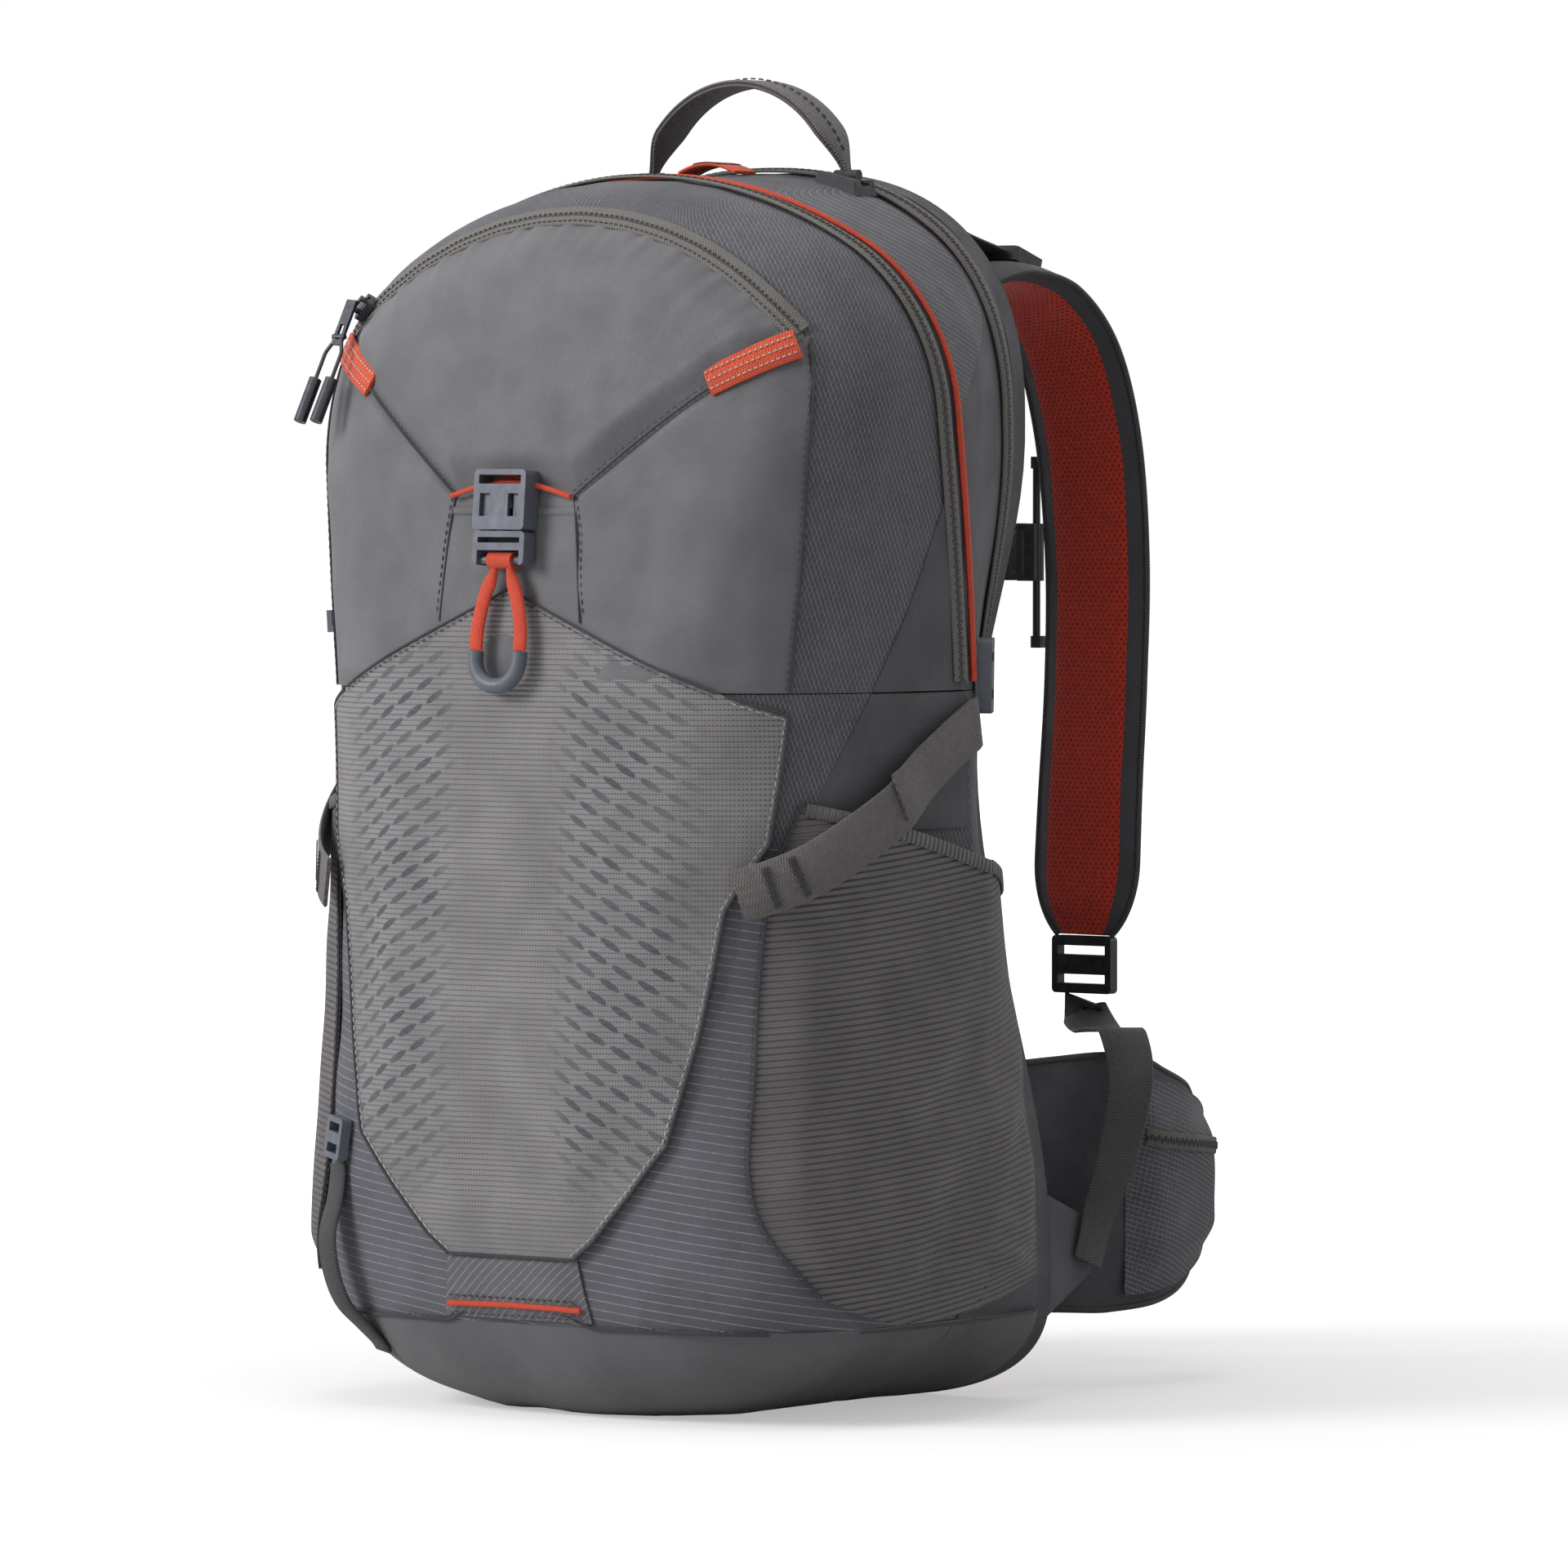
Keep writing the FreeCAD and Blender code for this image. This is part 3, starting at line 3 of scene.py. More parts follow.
import bmesh
import bpy
import numpy as np
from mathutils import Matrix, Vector

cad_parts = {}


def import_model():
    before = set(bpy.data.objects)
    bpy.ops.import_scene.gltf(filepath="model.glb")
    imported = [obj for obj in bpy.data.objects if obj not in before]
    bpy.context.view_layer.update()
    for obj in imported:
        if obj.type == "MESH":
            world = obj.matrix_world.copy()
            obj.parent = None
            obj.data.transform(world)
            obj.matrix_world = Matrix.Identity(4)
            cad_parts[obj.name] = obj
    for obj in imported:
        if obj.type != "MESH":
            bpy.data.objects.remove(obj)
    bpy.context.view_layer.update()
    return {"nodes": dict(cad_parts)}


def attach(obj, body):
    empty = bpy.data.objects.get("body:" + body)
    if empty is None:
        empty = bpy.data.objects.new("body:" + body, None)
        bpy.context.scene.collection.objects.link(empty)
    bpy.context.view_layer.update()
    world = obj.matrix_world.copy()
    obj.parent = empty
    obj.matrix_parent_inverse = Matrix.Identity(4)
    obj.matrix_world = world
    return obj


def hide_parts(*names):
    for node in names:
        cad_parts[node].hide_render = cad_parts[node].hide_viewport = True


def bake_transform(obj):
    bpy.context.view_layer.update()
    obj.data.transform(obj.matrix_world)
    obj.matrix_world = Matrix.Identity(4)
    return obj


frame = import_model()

nodes = frame["nodes"]

# The pack's outline, in metres: the same values as the construction's
HALF_WIDTH = 0.138
WAIST_DIP = 0.003
WAIST_Z = 0.270
WAIST_SPREAD = 0.070
TOP_Z = 0.495
CORNER_RADIUS = 0.075
TOP_TURN = math.radians(60.0)
BOTTOM_ROUND_Z = 0.078
BOTTOM_POWER = 2.5
BASE_SINK = 0.003
ZIP_Y = 0.026
ZIP_BEND_Z = 0.285
ZIP_BEND_SOFT = 0.018
ZIP_LEAN = 0.15
FRONT_Y = -0.100
DOME_Z = 0.210
DOME_POWER_BOTTOM = 6.0
DOME_POWER_SIDE = 2.9
DOME_POWER_TOP = 3.1
BACK_Y = 0.095
BACK_HALF_LOW = 0.125
BACK_HALF_WAIST = 0.088
BACK_HALF_HIGH = 0.112
BACK_LOW_Z = 0.060
BACK_WAIST_Z = 0.262
BACK_HIGH_Z = 0.392
BACK_ROUND_Z = 0.050
BACK_SHOULDER_Z = 0.400
BACK_TOP_Z = 0.500
BACK_BOTTOM_POWER = 2.8
BACK_TOP_POWER = 2.35
HINGE_Z = 0.2905
BASE_Z = 0.038
STRIPE_SEAM_Z = 0.205
BACK_PANEL_Y = 0.0845
CORE_DEPTH = 0.0105
TOP_ZIP_END_X = 0.115
TOP_ZIP_END_Z = 0.430
TOP_ZIP_APEX_Z = 0.479
CLOTH = 0.0009
SIDES = ((1, "right"), (-1, "left"))
STATIONS = np.linspace(-3.0, 3.0, 193)

# Clip, handle, harness and sleeve
CLIP_LEAN = math.radians(5.0)
HANDLE_Y = 0.058
HANDLE_HALF = 0.050
HANDLE_RISE = 0.038
HANDLE_PIVOT_Z = 0.49766
HARNESS_FACE = 0.0953
PIVOT = (0.1069, 0.440)
STRAP_HALF_GAP = 0.048
STRAP_WIDTH = 0.052
STRAP_THICK = 0.011
LOWER_LOCK = (0.069, 0.1979, 0.1568)
GUSSET_TIP = (0.1162, 0.1373, 0.060)
STERNUM_Y = 0.20513
STERNUM_Z = 0.343
BELT_Z = 0.084
SLEEVE_HALF = 0.066
SLEEVE_BACK_Y = 0.0764
SLEEVE_LOW_Z = 0.0245
SLEEVE_TALL = 0.305
SLEEVE_FULL = 0.0148

# Light and camera
WHITE = (1.0, 1.0, 1.0, 1.0)
AMBIENT = 0.28
FLOOR_FADE = (0.25, 1.3, 0.42, 1.0)
LIGHT_SIZE = 1.2
KEY_PLACE = (-1.2, -1.9, 1.30)
KEY_POWER = 37.0
TOP_PLACE = (0.1, -0.1, 1.9)
TOP_POWER = 8.0
CAMERA_PLACE = (2.60824, -3.37982, 0.39993)
CAMERA_TARGET = (0.03914, 0.02949, 0.25086)
CAMERA_LENS = 241.9

TOP_CENTRE_X = HALF_WIDTH - CORNER_RADIUS
TOP_RADIUS = TOP_CENTRE_X / math.cos(TOP_TURN) + CORNER_RADIUS
CORNER_Z = TOP_Z - TOP_RADIUS + (TOP_RADIUS - CORNER_RADIUS) * math.sin(TOP_TURN)
TOP_CENTRE_Z = TOP_Z - TOP_RADIUS
ARC_RISE = TOP_ZIP_APEX_Z - TOP_ZIP_END_Z
ARC_RADIUS = (TOP_ZIP_END_X ** 2 + ARC_RISE ** 2) / (2 * ARC_RISE)
ARC_CENTRE_Z = TOP_ZIP_APEX_Z - ARC_RADIUS
ARC_HALF_TURN = math.asin(TOP_ZIP_END_X / ARC_RADIUS)


def smooth(u):
    u = np.clip(u, 0.0, 1.0)
    return u * u * (3.0 - 2.0 * u)


# The body's surface, worked out for whole arrays of places

def zip_plane(z):
    lean = ZIP_BEND_SOFT * np.log1p(np.exp((z - ZIP_BEND_Z) / ZIP_BEND_SOFT))
    return ZIP_Y - ZIP_LEAN * lean


def rim_half(z):
    return HALF_WIDTH - WAIST_DIP * np.exp(-((z - WAIST_Z) / WAIST_SPREAD) ** 2)


def back_half(z):
    low_share = smooth((z - BACK_LOW_Z) / (BACK_WAIST_Z - BACK_LOW_Z))
    high_share = smooth((z - BACK_WAIST_Z) / (BACK_HIGH_Z - BACK_WAIST_Z))
    low = BACK_HALF_LOW + (BACK_HALF_WAIST - BACK_HALF_LOW) * low_share
    high = BACK_HALF_WAIST + (BACK_HALF_HIGH - BACK_HALF_WAIST) * high_share
    return np.where(z < BACK_WAIST_Z, low, high)


def rim(station, grow=0.0):
    """X and Z of the outline at the main zip; station runs 0 bottom, 1 to 2 flank, 3 top."""
    turn = np.clip(station, 0.0, 1.0) * math.pi / 2
    z0 = BOTTOM_ROUND_Z - (BOTTOM_ROUND_Z + BASE_SINK + grow) * np.abs(np.cos(turn)) ** (2 / BOTTOM_POWER)
    x0 = (rim_half(z0) + grow) * np.sin(turn) ** (2 / BOTTOM_POWER)
    z1 = BOTTOM_ROUND_Z + (CORNER_Z - BOTTOM_ROUND_Z) * (station - 1.0)
    x1 = rim_half(z1) + grow
    turn = TOP_TURN * np.clip(station - 2.0, 0.0, 0.5) * 2
    x2 = rim_half(CORNER_Z) - CORNER_RADIUS + (CORNER_RADIUS + grow) * np.cos(turn)
    z2 = CORNER_Z + (CORNER_RADIUS + grow) * np.sin(turn)
    turn = TOP_TURN + (math.pi / 2 - TOP_TURN) * np.clip(station - 2.5, 0.0, 0.5) * 2
    x3 = (TOP_RADIUS + grow) * np.cos(turn)
    z3 = TOP_CENTRE_Z + (TOP_RADIUS + grow) * np.sin(turn)
    where = [station < 1.0, station < 2.0, station < 2.5]
    return np.select(where, [x0, x1, x2], x3), np.select(where, [z0, z1, z2], z3)


def back(station, grow=0.0):
    turn = np.clip(station, 0.0, 1.0) * math.pi / 2
    z0 = BACK_ROUND_Z - (BACK_ROUND_Z + BASE_SINK + grow) * np.abs(np.cos(turn)) ** (2 / BACK_BOTTOM_POWER)
    x0 = (back_half(z0) + grow) * np.sin(turn) ** (2 / BACK_BOTTOM_POWER)
    z1 = BACK_ROUND_Z + (BACK_SHOULDER_Z - BACK_ROUND_Z) * (station - 1.0)
    x1 = back_half(z1) + grow
    turn = np.clip(station - 2.0, 0.0, 1.0) * math.pi / 2
    z2 = BACK_SHOULDER_Z + (BACK_TOP_Z + grow - BACK_SHOULDER_Z) * np.sin(turn) ** (2 / BACK_TOP_POWER)
    x2 = (back_half(z2) + grow) * np.abs(np.cos(turn)) ** (2 / BACK_TOP_POWER)
    where = [station < 1.0, station < 2.0]
    return np.select(where, [x0, x1], x2), np.select(where, [z0, z1], z2)


def dome_power(station):
    low = DOME_POWER_BOTTOM + (DOME_POWER_SIDE - DOME_POWER_BOTTOM) * smooth(station / 1.3)
    high = DOME_POWER_SIDE + (DOME_POWER_TOP - DOME_POWER_SIDE) * smooth(station - 2.0)
    return np.where(station < 1.3, low, np.where(station < 2.0, DOME_POWER_SIDE, high))


def dome(station, reach, grow=0.0):
    """Points of the front dome; a negative station is the left side."""
    side = np.where(station < 0, -1.0, 1.0)
    station = np.abs(station)
    rim_x, rim_z = rim(station, grow)
    power = dome_power(station)
    across = np.sin(reach * math.pi / 2) ** (2 / power)
    ahead = np.abs(np.cos(reach * math.pi / 2)) ** (2 / power)
    plane = zip_plane(rim_z)
    y = plane + (FRONT_Y - grow - plane) * ahead
    return stacked(side * rim_x * across, y, DOME_Z + (rim_z - DOME_Z) * across)


def rear(station, reach, grow=0.0):
    """Points behind the main zip; reach 1 is the edge of the back."""
    side = np.where(station < 0, -1.0, 1.0)
    station = np.abs(station)
    rim_x, rim_z = rim(station, grow)
    back_x, back_z = back(station, grow)
    share = 0.5 * (smooth(reach) + reach)
    plane = zip_plane(rim_z)
    y = plane + (BACK_Y + grow - plane) * reach
    return stacked(side * (rim_x + (back_x - rim_x) * share), y, rim_z + (back_z - rim_z) * share)


def dome_depth(x, z):
    """The dome's Y over places in its front view."""
    want = np.arctan2(z - DOME_Z, np.abs(x))
    low = np.zeros_like(want)
    high = np.full_like(want, 3.0)
    for _ in range(36):
        middle = (low + high) / 2
        rim_x, rim_z = rim(middle)
        under = np.arctan2(rim_z - DOME_Z, rim_x) < want
        low = np.where(under, middle, low)
        high = np.where(under, high, middle)
    rim_x, rim_z = rim(low)
    power = dome_power(low)
    across = np.clip(np.hypot(x, z - DOME_Z) / np.hypot(rim_x, rim_z - DOME_Z), 0.0, 0.9999)
    ahead = np.cos(np.arcsin(across ** (power / 2))) ** (2 / power)
    plane = zip_plane(rim_z)
    return plane + (FRONT_Y - plane) * ahead


def flank(y, z):
    """The flank's X over places in the side view."""
    plane = zip_plane(z)
    reach = np.clip((y - plane) / (BACK_Y - plane), 0.0, 1.0)
    share = 0.5 * (smooth(reach) + reach)
    low_z = BOTTOM_ROUND_Z + (BACK_ROUND_Z - BOTTOM_ROUND_Z) * share
    high_z = CORNER_Z + (BACK_SHOULDER_Z - CORNER_Z) * share
    station = 1.0 + (z - low_z) / (high_z - low_z)
    rear_x = rim(station)[0] + (back(station)[0] - rim(station)[0]) * share
    rim_z = np.array(z, float)
    across = np.ones_like(rim_z)
    for _ in range(6):
        station = np.clip(1.0 + (rim_z - BOTTOM_ROUND_Z) / (CORNER_Z - BOTTOM_ROUND_Z), 0.6, 2.0)
        power = dome_power(station)
        ahead = np.clip((y - plane) / (FRONT_Y - plane), 0.0, 0.9999)
        across = np.sin(np.arccos(ahead ** (power / 2))) ** (2 / power)
        rim_z = DOME_Z + (z - DOME_Z) / across
    return np.where(y >= plane, rear_x, rim_half(rim_z) * across)


def stacked(*parts):
    """Points from their coordinates, any of which may be one number for all."""
    return np.stack(np.broadcast_arrays(*parts), -1)


def unit(v):
    return v / np.maximum(np.linalg.norm(v, axis=-1, keepdims=True), 1e-12)


def on_front(x, z):
    """Points and outward normals of the dome over places in the front view."""
    step = 0.0005
    slope_x = (dome_depth(x + step, z) - dome_depth(x - step, z)) / (2 * step)
    slope_z = (dome_depth(x, z + step) - dome_depth(x, z - step)) / (2 * step)
    point = stacked(x, dome_depth(x, z), z)
    return point, unit(stacked(slope_x, -np.ones_like(slope_x), slope_z))


def on_flank(y, z, side):
    step = 0.0005
    slope_y = (flank(y + step, z) - flank(y - step, z)) / (2 * step)
    slope_z = (flank(y, z + step) - flank(y, z - step)) / (2 * step)
    point = stacked(side * flank(y, z), y, z)
    return point, unit(stacked(side * np.ones_like(slope_y), -slope_y, -slope_z))


def on_surface(surface, station, reach):
    """Points and outward normals of dome or rear at stations and reaches."""
    step = 0.002
    here = surface(station, reach)
    along = surface(station + step, reach) - surface(station - step, reach)
    low = np.clip(reach - step, 0.0, 1.0)
    high = np.clip(reach + step, 0.0, 1.0)
    behind = surface(station, high) - surface(station, low)
    normal = unit(np.cross(along, behind))
    outward = here - np.array([0.0, 0.0, DOME_Z])
    flip = np.sign(np.sum(normal * outward, -1, keepdims=True))
    return here, normal * flip


# Meshes

def finish_mesh(obj, body, material, replaced=()):
    obj.data.materials.clear()
    for one in material if isinstance(material, list) else [material]:
        obj.data.materials.append(one)
    obj.data.polygons.foreach_set("use_smooth", [True] * len(obj.data.polygons))
    obj.data.set_sharp_from_angle(angle=math.radians(50.0))
    if replaced:
        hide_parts(*replaced)
    if body:
        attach(obj, body)
    return obj


def new_object(name, points, faces, uvs=None):
    mesh = bpy.data.meshes.new(name)
    mesh.from_pydata([tuple(p) for p in points], [], [tuple(int(i) for i in f) for f in faces])
    if uvs is not None:
        layer = mesh.uv_layers.new(name="weave")
        loops = np.zeros(len(mesh.loops), np.int32)
        mesh.loops.foreach_get("vertex_index", loops)
        layer.data.foreach_set("uv", np.asarray(uvs, np.float32)[loops].ravel())
    mesh.validate()
    mesh.update()
    obj = bpy.data.objects.new(name, mesh)
    bpy.context.scene.collection.objects.link(obj)
    return obj


def grid_faces(rows, columns, start=0, flip=False):
    index = np.arange(rows * columns).reshape(rows, columns) + start
    faces = stacked(index[:-1, :-1], index[:-1, 1:], index[1:, 1:], index[1:, :-1]).reshape(-1, 4)
    return faces[:, ::-1] if flip else faces


def grid_normals(points):
    du = np.gradient(points, axis=1)
    dv = np.gradient(points, axis=0)
    return unit(np.cross(du, dv))


def cloth_panel(name, points, uvs, thickness=CLOTH, outward=None):
    """A closed thin panel from a grid of outer points, with a turned edge."""
    rows, columns = points.shape[:2]
    normals = grid_normals(points)
    flip = np.sum(normals * outward) < 0 if outward is not None else False
    if flip:
        normals = -normals
    inner = points - normals * thickness
    both = np.concatenate([points.reshape(-1, 3), inner.reshape(-1, 3)])
    count = rows * columns
    faces = list(grid_faces(rows, columns, 0, flip)) + list(grid_faces(rows, columns, count, not flip))
    index = np.arange(count).reshape(rows, columns)
    border = list(index[0, :]) + list(index[1:, -1]) + list(index[-1, -2::-1]) + list(index[-2:0:-1, 0])
    for a, b in zip(border, border[1:] + border[:1]):
        quad = (a, a + count, b + count, b)
        faces.append(quad if not flip else quad[::-1])
    flat = uvs.reshape(-1, 2)
    return new_object(name, both, faces, np.concatenate([flat, flat]))


def around(points):
    """Pattern coordinates that run round the pack and up it."""
    side = np.sign(points[..., 0]) * smooth(np.abs(points[..., 0]) / 0.06)
    u = points[..., 0] + side * (points[..., 1] - FRONT_Y)
    return stacked(u, points[..., 2])


def ripple(a, b, seed, size, count=7):
    """A smooth random swell from -1 to 1 with waves of about the given size."""
    rng = np.random.default_rng(seed)
    total = np.zeros_like(a)
    for _ in range(count):
        angle = rng.uniform(0, math.pi)
        length = size * rng.uniform(0.7, 1.6)
        phase = rng.uniform(0, 2 * math.pi)
        total = total + np.sin((a * math.cos(angle) + b * math.sin(angle)) * 2 * math.pi / length + phase)
    return total / count ** 0.5 / 1.4


def spline(points, count):
    """Evenly spaced points on a smooth curve through the given ones."""
    points = np.asarray(points, float)
    padded = np.concatenate([2 * points[:1] - points[1:2], points, 2 * points[-1:] - points[-2:-1]])
    dense = []
    for index in range(len(points) - 1):
        p0, p1, p2, p3 = padded[index:index + 4]
        t = np.linspace(0, 1, 24, endpoint=False)[:, None]
        dense.append(0.5 * (2 * p1 + (p2 - p0) * t + (2 * p0 - 5 * p1 + 4 * p2 - p3) * t ** 2
                            + (3 * p1 - p0 - 3 * p2 + p3) * t ** 3))
    dense = np.concatenate(dense + [points[-1:]])
    run = arc_length(dense)
    return at_lengths(dense, run, np.linspace(0, run[-1], count))


def arc_length(points):
    return np.concatenate([[0], np.cumsum(np.linalg.norm(np.diff(points, axis=0), axis=1))])


def directions(points, normals):
    """Unit directions along a path and across it."""
    along = unit(np.gradient(points, axis=0))
    return along, unit(np.cross(normals, along))


def at_lengths(values, run, lengths):
    """A path's values at other lengths along it."""
    return np.stack([np.interp(lengths, run, values[:, k]) for k in range(values.shape[1])], -1)


def sweep(name, points, normals, profile):
    """A closed section of (across, out) pairs, or one such list for each point, carried along a path."""
    along, across = directions(points, normals)
    out = np.cross(along, across)
    profile = np.asarray(profile, float)
    if profile.ndim == 2:
        profile = np.repeat(profile[None], len(points), axis=0)
    sides = profile.shape[1]
    rings = points[:, None] + across[:, None] * profile[..., :1] + out[:, None] * profile[..., 1:2]
    faces = []
    for row in range(len(points) - 1):
        for k in range(sides):
            a = row * sides + k
            b = row * sides + (k + 1) % sides
            faces.append((a, a + sides, b + sides, b))
    last = (len(points) - 1) * sides
    faces.append(tuple(range(sides)))
    faces.append(tuple(range(last + sides - 1, last - 1, -1)))
    run = np.repeat(arc_length(points)[:, None], sides, axis=1)
    uvs = stacked(profile[..., 0], run).reshape(-1, 2)
    return new_object(name, rings.reshape(-1, 3), faces, uvs)


def band_profile(width, thick):
    """A flat band with rounded long edges, its underside on 0."""
    half = width / 2
    edge = thick * 0.45
    return [(-half + edge, 0.0), (half - edge, 0.0), (half, edge), (half, thick - edge), (half - edge, thick),
            (0.0, thick), (-half + edge, thick), (-half, thick - edge), (-half, edge)]


def round_profile(radius, sides=8):
    turns = [2 * math.pi * k / sides for k in range(sides)]
    return [(radius * math.cos(t), radius * math.sin(t)) for t in turns]


def ribbon(name, points, normals, width, thick, lift=0.0):
    widths = np.broadcast_to(np.asarray(width, float), (len(points),))
    profile = [band_profile(w, thick) for w in widths]
    return sweep(name, points + normals * lift, normals, profile)


def joined(name, parts):
    """Several meshes made into one."""
    bm = bmesh.new()
    for part in parts:
        bm.from_mesh(part.data)
    mesh = bpy.data.meshes.new(name)
    bm.to_mesh(mesh)
    bm.free()
    for part in parts:
        bpy.data.objects.remove(part)
    obj = bpy.data.objects.new(name, mesh)
    bpy.context.scene.collection.objects.link(obj)
    return obj


def stitch_row(name, points, normals, pitch=0.0034, length=0.0022, radius=0.0003, lift=0.0002):
    """Separate thread stitches laid along a path."""
    run = arc_length(points)
    pieces = []
    faces = []
    count = max(int(run[-1] / pitch), 1)
    for index in range(count):
        middle = (index + 0.5) * pitch
        place = at_lengths(points, run, middle)
        ahead = at_lengths(points, run, middle + length / 2)
        normal = unit(at_lengths(normals, run, middle))
        half = ahead - place
        if np.linalg.norm(half) < 1e-6:
            continue
        across = unit(np.cross(normal, half)) * radius
        base = place + normal * lift
        ends = []
        for sign, scale in ((-1.0, 0.4), (-0.6, 1.0), (0.6, 1.0), (1.0, 0.4)):
            ends.append(base + half * sign - across * scale)
            ends.append(base + half * sign + across * scale)
        top = [p + normal * radius * (1.6 if 2 <= k <= 5 else 0.4) for k, p in enumerate(ends)]
        start = len(pieces)
        pieces.extend(ends + top)
        for k in (0, 2, 4):
            faces.append((start + k + 8, start + k + 10, start + k + 11, start + k + 9))
            faces.append((start + k, start + k + 1, start + k + 3, start + k + 2))
            faces.append((start + k, start + k + 2, start + k + 10, start + k + 8))
            faces.append((start + k + 1, start + k + 9, start + k + 11, start + k + 3))
        faces.append((start, start + 8, start + 9, start + 1))
        faces.append((start + 6, start + 7, start + 15, start + 14))
    return new_object(name, pieces, faces)


# Materials: each takes its pattern from the weave map, in metres, or from the object's own space

MOTTLE = (0.3, 0.7)
DAB_ROW = 0.0080
DAB_COLUMN = 0.0105
DAB_SLANT = 0.55
DAB_COLOUR = (76, 80, 88)
LINE = (150, 151, 157)


def linear(colour):
    """An sRGB colour, written 0 to 255, as the shader's linear one."""
    values = []
    for c in colour:
        c = c / 255.0
        values.append(c / 12.92 if c <= 0.04045 else ((c + 0.055) / 1.055) ** 2.4)
    return (*values, 1.0)


def toned(colour, scale, rise=0.0):
    """The same colour, darker or paler."""
    return tuple(min(c * scale + rise, 1.0) for c in colour[:3]) + (1.0,)


def set_socket(socket, value):
    """Links a shader value to a socket, or sets a plain number or colour on it."""
    if isinstance(value, Value):
        value.tree.links.new(value.socket, socket)
    else:
        socket.default_value = value


class Value:
    """A number or colour inside a shader tree, so that a pattern is written as plain sums."""

    def __init__(self, tree, socket):
        self.tree = tree
        self.socket = socket

    def math(self, operation, other=None, swapped=False):
        node = self.tree.nodes.new("ShaderNodeMath")
        node.operation = operation
        set_socket(node.inputs[1 if swapped else 0], self)
        if other is not None:
            set_socket(node.inputs[0 if swapped else 1], other)
        return Value(self.tree, node.outputs[0])

    def __add__(self, other):
        return self.math("ADD", other)

    def __sub__(self, other):
        return self.math("SUBTRACT", other)

    def __rsub__(self, other):
        return self.math("SUBTRACT", other, True)

    def __mul__(self, other):
        return self.math("MULTIPLY", other)

    def __truediv__(self, other):
        return self.math("DIVIDE", other)

    def __pow__(self, other):
        return self.math("POWER", other)

    def size(self):
        return self.math("ABSOLUTE")

    def zigzag(self):
        """How far the value is from the middle of its unit step."""
        return (self.math("FRACT") - 0.5).size()

    def sine(self, period):
        return (self * (2 * math.pi / period)).math("SINE")

    def ramp(self, low, high, out_low=0.0, out_high=1.0):
        node = self.tree.nodes.new("ShaderNodeMapRange")
        node.interpolation_type = "SMOOTHSTEP"
        names = ("Value", "From Min", "From Max", "To Min", "To Max")
        for name, value in zip(names, (self, low, high, out_low, out_high)):
            set_socket(node.inputs[name], value)
        return Value(self.tree, node.outputs["Result"])


def mixed(factor, a, b):
    """A colour between two others."""
    node = factor.tree.nodes.new("ShaderNodeMix")
    node.data_type = "RGBA"
    for index, value in ((0, factor), (6, a), (7, b)):
        set_socket(node.inputs[index], value)
    return Value(factor.tree, node.outputs[2])


class Shade:
    """A material in the making: its tree, its shader and the weave map's coordinates."""

    def __init__(self, name, roughness, sheen=0.0, metallic=0.0):
        self.material = bpy.data.materials.new(name)
        self.material.use_nodes = True
        self.tree = self.material.node_tree
        self.shader = self.tree.nodes["Principled BSDF"]
        self.worn = None
        for socket, value in (("Roughness", roughness), ("Metallic", metallic), ("Sheen Weight", sheen),
                              ("Sheen Roughness", 0.5)):
            self.set(socket, value)

    def set(self, socket, value):
        set_socket(self.shader.inputs[socket], value)

    def weave(self):
        uv = self.tree.nodes.new("ShaderNodeUVMap")
        uv.uv_map = "weave"
        split = self.tree.nodes.new("ShaderNodeSeparateXYZ")
        self.tree.links.new(uv.outputs[0], split.inputs[0])
        return Value(self.tree, split.outputs[0]), Value(self.tree, split.outputs[1])

    def noise(self, scale, detail=3.0, roughness=0.5):
        place = self.tree.nodes.new("ShaderNodeTexCoord")
        node = self.tree.nodes.new("ShaderNodeTexNoise")
        self.tree.links.new(place.outputs["Object"], node.inputs["Vector"])
        for socket, value in (("Scale", scale), ("Detail", detail), ("Roughness", roughness)):
            node.inputs[socket].default_value = value
        return Value(self.tree, node.outputs["Fac"])

    def bump(self, height, distance, strength=1.0):
        node = self.tree.nodes.new("ShaderNodeBump")
        node.inputs["Strength"].default_value = strength
        node.inputs["Distance"].default_value = distance
        set_socket(node.inputs["Height"], height)
        before = self.shader.inputs["Normal"].links
        if before:
            self.tree.links.new(before[0].from_socket, node.inputs["Normal"])
        self.tree.links.new(node.outputs[0], self.shader.inputs["Normal"])


def lines(u, v, angle, spacing, width):
    """1 on thin parallel lines across the weave map, 0 between them."""
    turn = math.radians(angle)
    share = width / spacing / 2
    off = ((u * math.sin(turn) + v * math.cos(turn)) / spacing).zigzag()
    return off.ramp(share * 0.6, share * 1.4, 1.0, 0.0)


def cloth(name, colour, roughness=0.78, sheen=0.12, thread=0.00045):
    """Plain woven cloth: two tones of soft mottling, the weave's bump and slight creases."""
    light = 0.12
    shade = Shade(name, roughness, sheen)
    u, v = shade.weave()
    base = linear(colour)
    dark = toned(base, 1 - light)
    mottled = mixed(shade.noise(38.0, 4.0).ramp(*MOTTLE), dark, toned(base, 1 + light))
    shade.worn = mixed(shade.noise(900.0, 2.0).ramp(*MOTTLE) * 0.35, mottled, dark)
    shade.set("Base Color", shade.worn)
    shade.set("Roughness", shade.noise(60.0).ramp(*MOTTLE, roughness - 0.06, roughness + 0.08))
    shade.bump(shade.noise(26.0, 4.0, 0.55), 0.0018)
    shade.bump(u.sine(thread * 2) * v.sine(thread * 2), 0.00008, 0.7)
    return shade, u, v


def cloth_material(name, colour, **more):
    return cloth(name, colour, **more)[0].material


